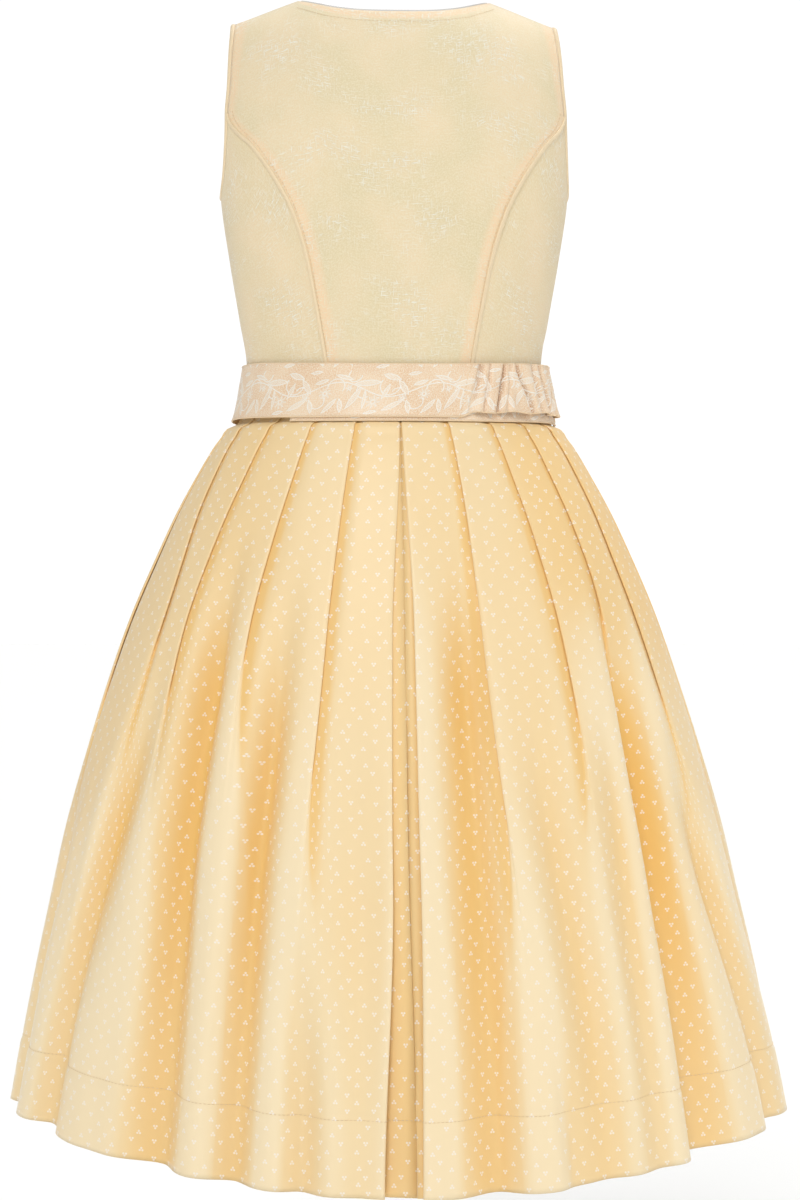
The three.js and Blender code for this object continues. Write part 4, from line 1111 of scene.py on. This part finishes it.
def side_steps(count):
    """Fine steps of every stretch of one side of the skirt, for that many pleats."""
    return [STEPS_TO_TURN] + (STEPS_OF_PLEAT + [STEPS_TO_TURN]) * (count - 1) + STEPS_OF_PLEAT


def ripple(degrees, down, side):
    """Small unevenness of hanging cloth, deeper towards the hem."""
    wide = np.sin(np.radians(degrees) * 23 + 5 * down + 1.3 * side)
    narrow = np.sin(np.radians(degrees) * 51 - 7 * down + 2.1 * side)
    level = np.sin(19 * down + np.radians(degrees) * 6 + side)
    return smooth(0.1, 0.9, down) * (0.9 * wide + 0.35 * narrow) + 0.25 * level * smooth(0.05, 0.3, down)


def softened(values, reach):
    """Mean of each row's values over that many neighbours to each side."""
    held = np.pad(values, ((0, 0), (reach, reach)), mode="edge")
    return np.stack([held[:, i:i + values.shape[1]] for i in range(2 * reach + 1)]).mean(axis=0)


def hem_relief(down):
    """How far the hem's double cloth stands out, with the pull of its stitching."""
    below = smooth(HEM_LINE, HEM_LINE + 0.006, down)
    pull = np.exp(-(((down - HEM_LINE) / 0.004) ** 2))
    return 0.5 * (below - pull)


def skirt_chart(points, degrees, pleat_count):
    """Place on the cloth: the grain runs along each fold edge, and the valleys take up the rest."""
    starts = np.concatenate([[0], np.cumsum(side_steps(pleat_count))])
    lengths = np.array([arc_lengths(row) for row in points])
    across = lengths.copy()
    noses = [starts[NOSE_POINT + i * POINTS_OF_PLEAT] for i in range(pleat_count)]
    ends = [starts[LAST_ALONG_POINT + i * POINTS_OF_PLEAT] for i in range(pleat_count)]
    for nose, end in zip(noses, ends):
        across[:, nose:end + 1] = lengths[-1, nose] + lengths[:, nose:end + 1] - lengths[:, nose:nose + 1]
    for end, nose in zip([0, *ends[:-1]], noses):
        span = lengths[:, nose:nose + 1] - lengths[:, end:end + 1]
        share = (lengths[:, end:nose + 1] - lengths[:, end:end + 1]) / span
        start = across[:, end:end + 1] if end else 0 * span
        across[:, end:nose + 1] = mix(start, across[:, nose:nose + 1], share)
    last = ends[-1]
    across[:, last:] = across[:, last:last + 1] + lengths[:, last:] - lengths[:, last:last + 1]
    from_hem = []
    for at in (90, 0):
        run = arc_lengths(on_skirt(at + 0 * DOWNS, DOWNS, 0 * DOWNS))
        from_hem.append((run[-1] - run)[:, None])
    return np.stack([across, mix(*from_hem, np.cos(np.radians(degrees)) ** 2)], axis=-1)


def fold_shade_and_highlight(degrees, down, sunk, under, out, sign):
    """Painted shade and highlight of the folds: 1 is the deepest painted shade, and less than 0 is a painted
    highlight, paler than the ground.
    """
    # Painted shade in the crevices under fold edges that are still closed, weaker at the centre back.
    closed = smooth(0.3, 1.6, -under) * (0.5 - 0.15 * (degrees < 5))
    # Painted highlight along the crests that stand out from the cloth around them.
    ridge_highlight = smooth(0.5, 5, out - softened(out, 24)) * smooth(0.05, 0.3, down)
    # Painted shade in the soft troughs, less of it towards the hem.
    warm = 0.72 * smooth(2, 19, softened(sunk, 4)) * (1 - 0.45 * smooth(0.55, 0.95, down))
    # Painted shade on the upper flanks of the skirt, stronger on the wearer's right side.
    flank_shade = (0.24 + 0.11 * sign) * smooth(22, 42, degrees) * (1 - smooth(0.26, 0.46, down))
    return np.maximum(np.maximum(closed, flank_shade), warm) - 0.6 * ridge_highlight


def skirt_side(pleats, troughs, sign):
    """Points, places on the cloth and tint of one side, a row for each level from the hem upwards: the tint
    is painted shade in the folds and a painted highlight on their crests.
    """
    coarse = np.array([half_path(pleats, level) for level in DOWNS])
    scale = np.radians(skirt_width(DOWNS))[:, None]
    coarse[..., 0] *= scale
    fine = spline(coarse, side_steps(len(pleats)))
    degrees, under = fine[..., 0] / scale, fine[..., 1]
    down = DOWNS[:, None]
    sunk = trough_depth(troughs, degrees, down)
    out = under - sunk + ripple(degrees, down, sign)
    points = on_skirt(sign * degrees, down + 0 * degrees, out + hem_relief(down))
    chart = skirt_chart(points, degrees, len(pleats))
    chart[..., 0] *= sign
    return [part[::-1] for part in (points, chart, fold_shade_and_highlight(degrees, down, sunk, under, out, sign))]


def skirt():
    right = skirt_side(PLEATS_RIGHT, TROUGHS_RIGHT, 1)
    left = skirt_side(PLEATS_LEFT, TROUGHS_LEFT, -1)
    seam = sum(side_steps(len(PLEATS_RIGHT))[:SIDE_SEAM_POINT])
    back_right = [part[:, :seam + 1] for part in right]
    back_left = turned_over(part[:, :seam + 1] for part in left)
    front = [
        np.concatenate([first[:, seam:], second[:, seam:-1][:, ::-1]], axis=1)
        for first, second in zip(right, left)
    ]
    for name, (points, chart, tint), flat, area in (
        ("back_right", back_right, (0.52, 0.6), 0.26),
        ("back_left", back_left, (0.52, 0.6), 0.26),
        ("front", front, (0.84, 0.6), 0.43),
    ):
        sheet_piece(
            f"skirt_{name}_cloth", points, SKIRT_CLOTH, COTTON, "skirt_cloth", f"skirt_{name}",
            chart=chart, tint=tint,
        )
    row = -1 - int(np.argmin(np.abs(DOWNS - HEM_LINE)))
    ring = np.concatenate([right[0][row], left[0][row][::-1][1:]])
    ways = unit(np.cross(np.gradient(ring, axis=0), [0, 0, 1]))
    stitch_piece("hem_stitches", [(ring + ways * 0.45, ways)], "skirt_cloth")


# Band of the apron

RUCHED_FROM = 27
RUCHED_TO = 88
RUCHED_HEIGHT = 3.3
SEAM_SLANT = 6
BAND_FLARE = 2.2
BAND_SEAM = 92
UNDER_FROM = -41
OVER_LIFT = 1.4
UNDER_BAND_SHOWS = 2.8
UNDER_BAND_TOP_BELOW = 4
ELASTIC_RISE = 3.6
BAND_ROWS = 27
BAND_RADIUS = 110

# Strips of the band from a start to an end in degrees: columns of the grid, distance from the middle of
# the layers, top and bottom edge, flat size in metres and area in square metres
STRIPS = table(
    "name start end columns lift top bottom flat area",
    ("back", -BAND_SEAM, RUCHED_FROM, 160, OVER_LIFT, BAND_TOP, BAND_BOTTOM, (0.23, 0.04), 0.0092),
    ("elastic", RUCHED_FROM, BAND_SEAM, 260, OVER_LIFT, BAND_TOP, BAND_BOTTOM, (0.15, 0.036), 0.0054),
    ("front", BAND_SEAM, 360 - BAND_SEAM, 220, OVER_LIFT, BAND_TOP, BAND_BOTTOM, (0.33, 0.04), 0.0132),
    (
        "under", UNDER_FROM, BAND_SEAM, 160, 0.0, BAND_TOP - UNDER_BAND_TOP_BELOW,
        BAND_BOTTOM - UNDER_BAND_SHOWS, (0.26, 0.0405), 0.0105,
    ),
)
OVER_STRIPS = ("back", "elastic", "front")

# Puckers of the elastic stretch: degrees round the band at its lower and upper edge, width and depth
PUCKERS = table(
    "bottom top width depth",
    (25, 31.5, 1.5, 3.0), (30, 35.5, 1.0, 2.4), (36, 42.5, 1.2, 4.4), (40.5, 45.5, 0.9, 1.6),
    (54.5, 49.5, 1.5, 4.2), (61, 60, 1.5, 2.4), (69, 66.5, 1.6, 3.6), (76, 78, 1.4, 2.6),
    (83.5, 83, 1.4, 3.0),
)


def ruching(degrees, rise):
    """How far the gathered stretch stands out, and 0 to 1 for how deep a point lies in a pucker, which the
    band's material paints as shade.
    """
    from_start = smooth(RUCHED_FROM - 4, RUCHED_FROM + 3, degrees)
    inside = from_start * (1 - smooth(RUCHED_TO - 2, BAND_SEAM, degrees))
    height = RUCHED_HEIGHT + 0.45 * np.sin(degrees * 0.9 + 3 * rise)
    puckered = 0 * degrees * rise
    for pucker in PUCKERS:
        centre = mix(pucker["bottom"], pucker["top"], smooth(0, 1, rise)) + 0.5 * np.sin(6 * rise)
        puckered = puckered + pucker["depth"] * np.exp(-(((degrees - centre) / pucker["width"]) ** 2))
    return inside * (height - puckered), smooth(0.4, 3.2, inside * puckered)


def band_shift(degrees, rise):
    """The band sits a little higher at the sides, and its upper edge dips at the centre back."""
    from_back = np.abs((degrees + 180) % 360 - 180)
    return 2.1 * np.exp(-(((from_back - 75) / 35) ** 2)) - 1.9 * rise * np.exp(-((from_back / 45) ** 2))


def band_strip(name, start, end, columns, lift, top, bottom, flat, area):
    """One strip of the band. The seam at RUCHED_FROM is aslant, and from it the lower edge lies higher."""
    over = name in OVER_STRIPS
    rise = np.linspace(0, 1, BAND_ROWS)[:, None]
    ends = [at + SEAM_SLANT * (rise - 0.5) * (at == RUCHED_FROM) for at in (start, end)]
    degrees = mix(*ends, np.linspace(0, 1, columns)[None, :])
    low = bottom + 0 * degrees
    if over:
        raised = smooth(RUCHED_FROM - 6, RUCHED_FROM, degrees) * (degrees < BAND_SEAM + 0.01)
        wavy = smooth(RUCHED_FROM - 2, RUCHED_FROM + 6, degrees)
        wavy = wavy * (1 - smooth(RUCHED_TO - 4, BAND_SEAM, degrees))
        low = low + ELASTIC_RISE * raised + 0.7 * np.sin(degrees * 0.33) * wavy
    height = mix(low, top, rise) + band_shift(degrees, rise)
    out = lift + BAND_FLARE * (1 - rise) ** 2 + 0.25 * np.sin(np.radians(degrees) * 13 + 2 * rise)
    tint = 0 * height
    # The puckers' depth becomes the tint, painted shade in their valleys.
    if over and end <= BAND_SEAM:
        gathered, tint = ruching(degrees, rise)
        out = out + gathered
    points = on_oval(degrees, band_width(height), band_depth(height), height, out)
    chart = grid_chart(points)
    chart[..., 0] += np.radians(start) * BAND_RADIUS - chart[:, :1, 0]
    sheet_piece(
        f"waistband_{name}", points, BAND_CLOTH, JACQUARD, "apron_cloth", f"band_{name}",
        chart=chart, tint=tint,
    )
    return points


def band():
    strips = {strip["name"]: band_strip(**strip) for strip in STRIPS}
    rolls = []
    for names, row, section in (
        ((*OVER_STRIPS, "under"), 0, round_section(0.75, 0.6, 8)),
        (OVER_STRIPS, -1, round_section(0.7, 0.5, 8)),
    ):
        for name in names:
            points = strips[name]
            line, ways = resampled(points[row], grid_normals(points)[row], 1.5)
            rolls.append(swept(line, ways, section))
    mesh_piece("waistband_edges", *joined(rolls), EDGE, "apron_cloth")
    back = strips["back"]
    normals = grid_normals(back)[:, -5]
    stitch_piece("waistband_stitches", [(back[:, -5] + normals * 0.55, normals)], "apron_cloth")


# Apron

APRON_HALF = 58
APRON_TOP = BAND_BOTTOM - 0.5
APRON_BOTTOM_SHARE = 0.955
APRON_GATHERS = 16
APRON_EDGE_OUT = 3.6
APRON_ROWS = 130
APRON_COLUMNS = 330


def apron_out(degrees, down):
    """Distance of the apron from the skirt's base section: clear of the pleats, waved by its gathers, and
    down on the skirt at its two side edges."""
    clear = mix(4.6, 11, smooth(0.02, 0.12, down))
    share = (degrees - (180 - APRON_HALF)) / (2 * APRON_HALF)
    gather = np.cos(2 * math.pi * APRON_GATHERS * share)
    wide = np.cos(2 * math.pi * (APRON_GATHERS / 4) * share + 0.8)
    small = mix(0.7, 3, smooth(0.02, 0.12, down)) * (1 - smooth(0.25, 0.8, down))
    large = 4.5 * smooth(0.2, 0.9, down)
    to_edge = smooth(0.13, 0, np.minimum(share, 1 - share)) * smooth(0.015, 0.06, down)
    return mix(clear + small * gather + large * (1 + wide), APRON_EDGE_OUT, to_edge)


def apron():
    down_top = (WAIST - APRON_TOP) / (WAIST - HEM_SIDE)
    down = mix(down_top, APRON_BOTTOM_SHARE, np.linspace(1, 0, APRON_ROWS) ** 1.1)[:, None]
    degrees = np.linspace(180 - APRON_HALF, 180 + APRON_HALF, APRON_COLUMNS)[None, :]
    points = on_skirt(degrees + 0 * down, down + 0 * degrees, apron_out(degrees, down))
    points[-1, :, 2] = APRON_TOP
    sheet_piece(
        "apron_panel", points, APRON_CLOTH, JACQUARD, "apron_cloth", "apron",
    )
    normals = grid_normals(points)
    lifted = points + normals * 0.4
    lines = [(lifted[7], normals[7])] + [(lifted[:, column], normals[:, column]) for column in (5, -6)]
    stitch_piece("apron_stitches", lines, "apron_cloth")


# Stage, lights and camera

FLOOR_HEIGHT = -1.07
FLOOR_RADIUS = 40


def stage():
    """A plain pale floor where the wearer would stand."""
    turns = np.linspace(0, 2 * math.pi, 64, endpoint=False)
    rim = np.stack([np.cos(turns), np.sin(turns), 0 * turns], axis=-1) * FLOOR_RADIUS
    rim[:, 2] = FLOOR_HEIGHT
    mesh = bpy.data.meshes.new("floor")
    mesh.from_pydata(rim.tolist(), [], [list(range(len(turns)))])
    material = bpy.data.materials.new("pale_floor")
    material.use_nodes = True
    shader = material.node_tree.nodes["Principled BSDF"]
    shader.inputs["Base Color"].default_value = (0.93, 0.93, 0.92, 1)
    shader.inputs["Roughness"].default_value = 0.9
    shader.inputs["Specular IOR Level"].default_value = 0.1
    mesh.materials.append(material)
    link("floor", mesh)


# Wide soft lights from far away, so that the floor is as bright as the dress. Angles are in degrees.
SUNS = table(
    "name azimuth elevation softness strength",
    ("key", -15, 44, 22, 1.14),
    ("left_fill", -62, 32, 50, 0.08),
    ("right_fill", 66, 34, 50, 0.5),
    ("far_key", 158, 58, 28, 1.42),
)


def lighting():
    """The suns, a weak lamp low behind the dress, and a surround that the camera sees as white."""
    for sun in SUNS:
        light = bpy.data.lights.new(sun["name"], "SUN")
        light.energy = sun["strength"]
        light.angle = math.radians(sun["softness"])
        turn, height = math.radians(sun["azimuth"]), math.radians(sun["elevation"])
        way = (math.sin(turn) * math.cos(height), -math.cos(turn) * math.cos(height), math.sin(height))
        link(sun["name"], light).rotation_euler = Vector(way).to_track_quat("Z", "Y").to_euler()
    light = bpy.data.lights.new("low_front", "AREA")
    light.shape = "DISK"
    light.size = 1.5
    light.energy = 2
    lamp = link("low_front", light)
    lamp.location = (-0.5, -2.6, -0.5)
    middle = Vector((0, 0, -0.42))
    lamp.rotation_euler = (middle - lamp.location).to_track_quat("-Z", "Y").to_euler()

    world = bpy.data.worlds.new("white_surround")
    world.use_nodes = True
    nodes, links = world.node_tree.nodes, world.node_tree.links
    background = nodes["Background"]
    background.inputs["Color"].default_value = (1, 1, 1, 1)
    ray = nodes.new("ShaderNodeLightPath")
    strength = nodes.new("ShaderNodeMapRange")
    strength.inputs["To Min"].default_value = 0.37
    strength.inputs["To Max"].default_value = 1.05
    links.new(ray.outputs["Is Camera Ray"], strength.inputs["Value"])
    links.new(strength.outputs[0], background.inputs["Strength"])
    bpy.context.scene.world = world


# Camera: level, at the height of the photograph's middle row, a little to the left of the centre back
CAMERA_DISTANCE = 2.2
CAMERA_HEIGHT = -0.439
CAMERA_AZIMUTH = -2.9
FOCAL_PIXELS = 2933
IMAGE_WIDTH = 800
IMAGE_HEIGHT = 1200
AXIS_COLUMN = 394
SENSOR = 36


def camera():
    data = bpy.data.cameras.new("camera")
    data.sensor_width = SENSOR
    data.lens = FOCAL_PIXELS / IMAGE_HEIGHT * SENSOR
    azimuth = math.radians(CAMERA_AZIMUTH)
    turn = math.atan((IMAGE_WIDTH / 2 - AXIS_COLUMN) / FOCAL_PIXELS)
    eye = link("camera", data)
    eye.location = (
        CAMERA_DISTANCE * math.sin(azimuth), -CAMERA_DISTANCE * math.cos(azimuth), CAMERA_HEIGHT
    )
    eye.rotation_euler = (math.pi / 2, 0, azimuth - turn)
    bpy.context.scene.camera = eye


bodice()
bodice_stitches()
neck_edging("neck_picot_back", [neck_edge(back_centre_cells())], "neck_trim_back")
neck_edging("neck_picot_front", [neck_edge(front_cells(1)), neck_edge(front_cells(-1))], "neck_trim_front")
placket()
buttons()
skirt()
band()
apron()
stage()
lighting()
camera()
bpy.context.scene.view_settings.view_transform = "Standard"
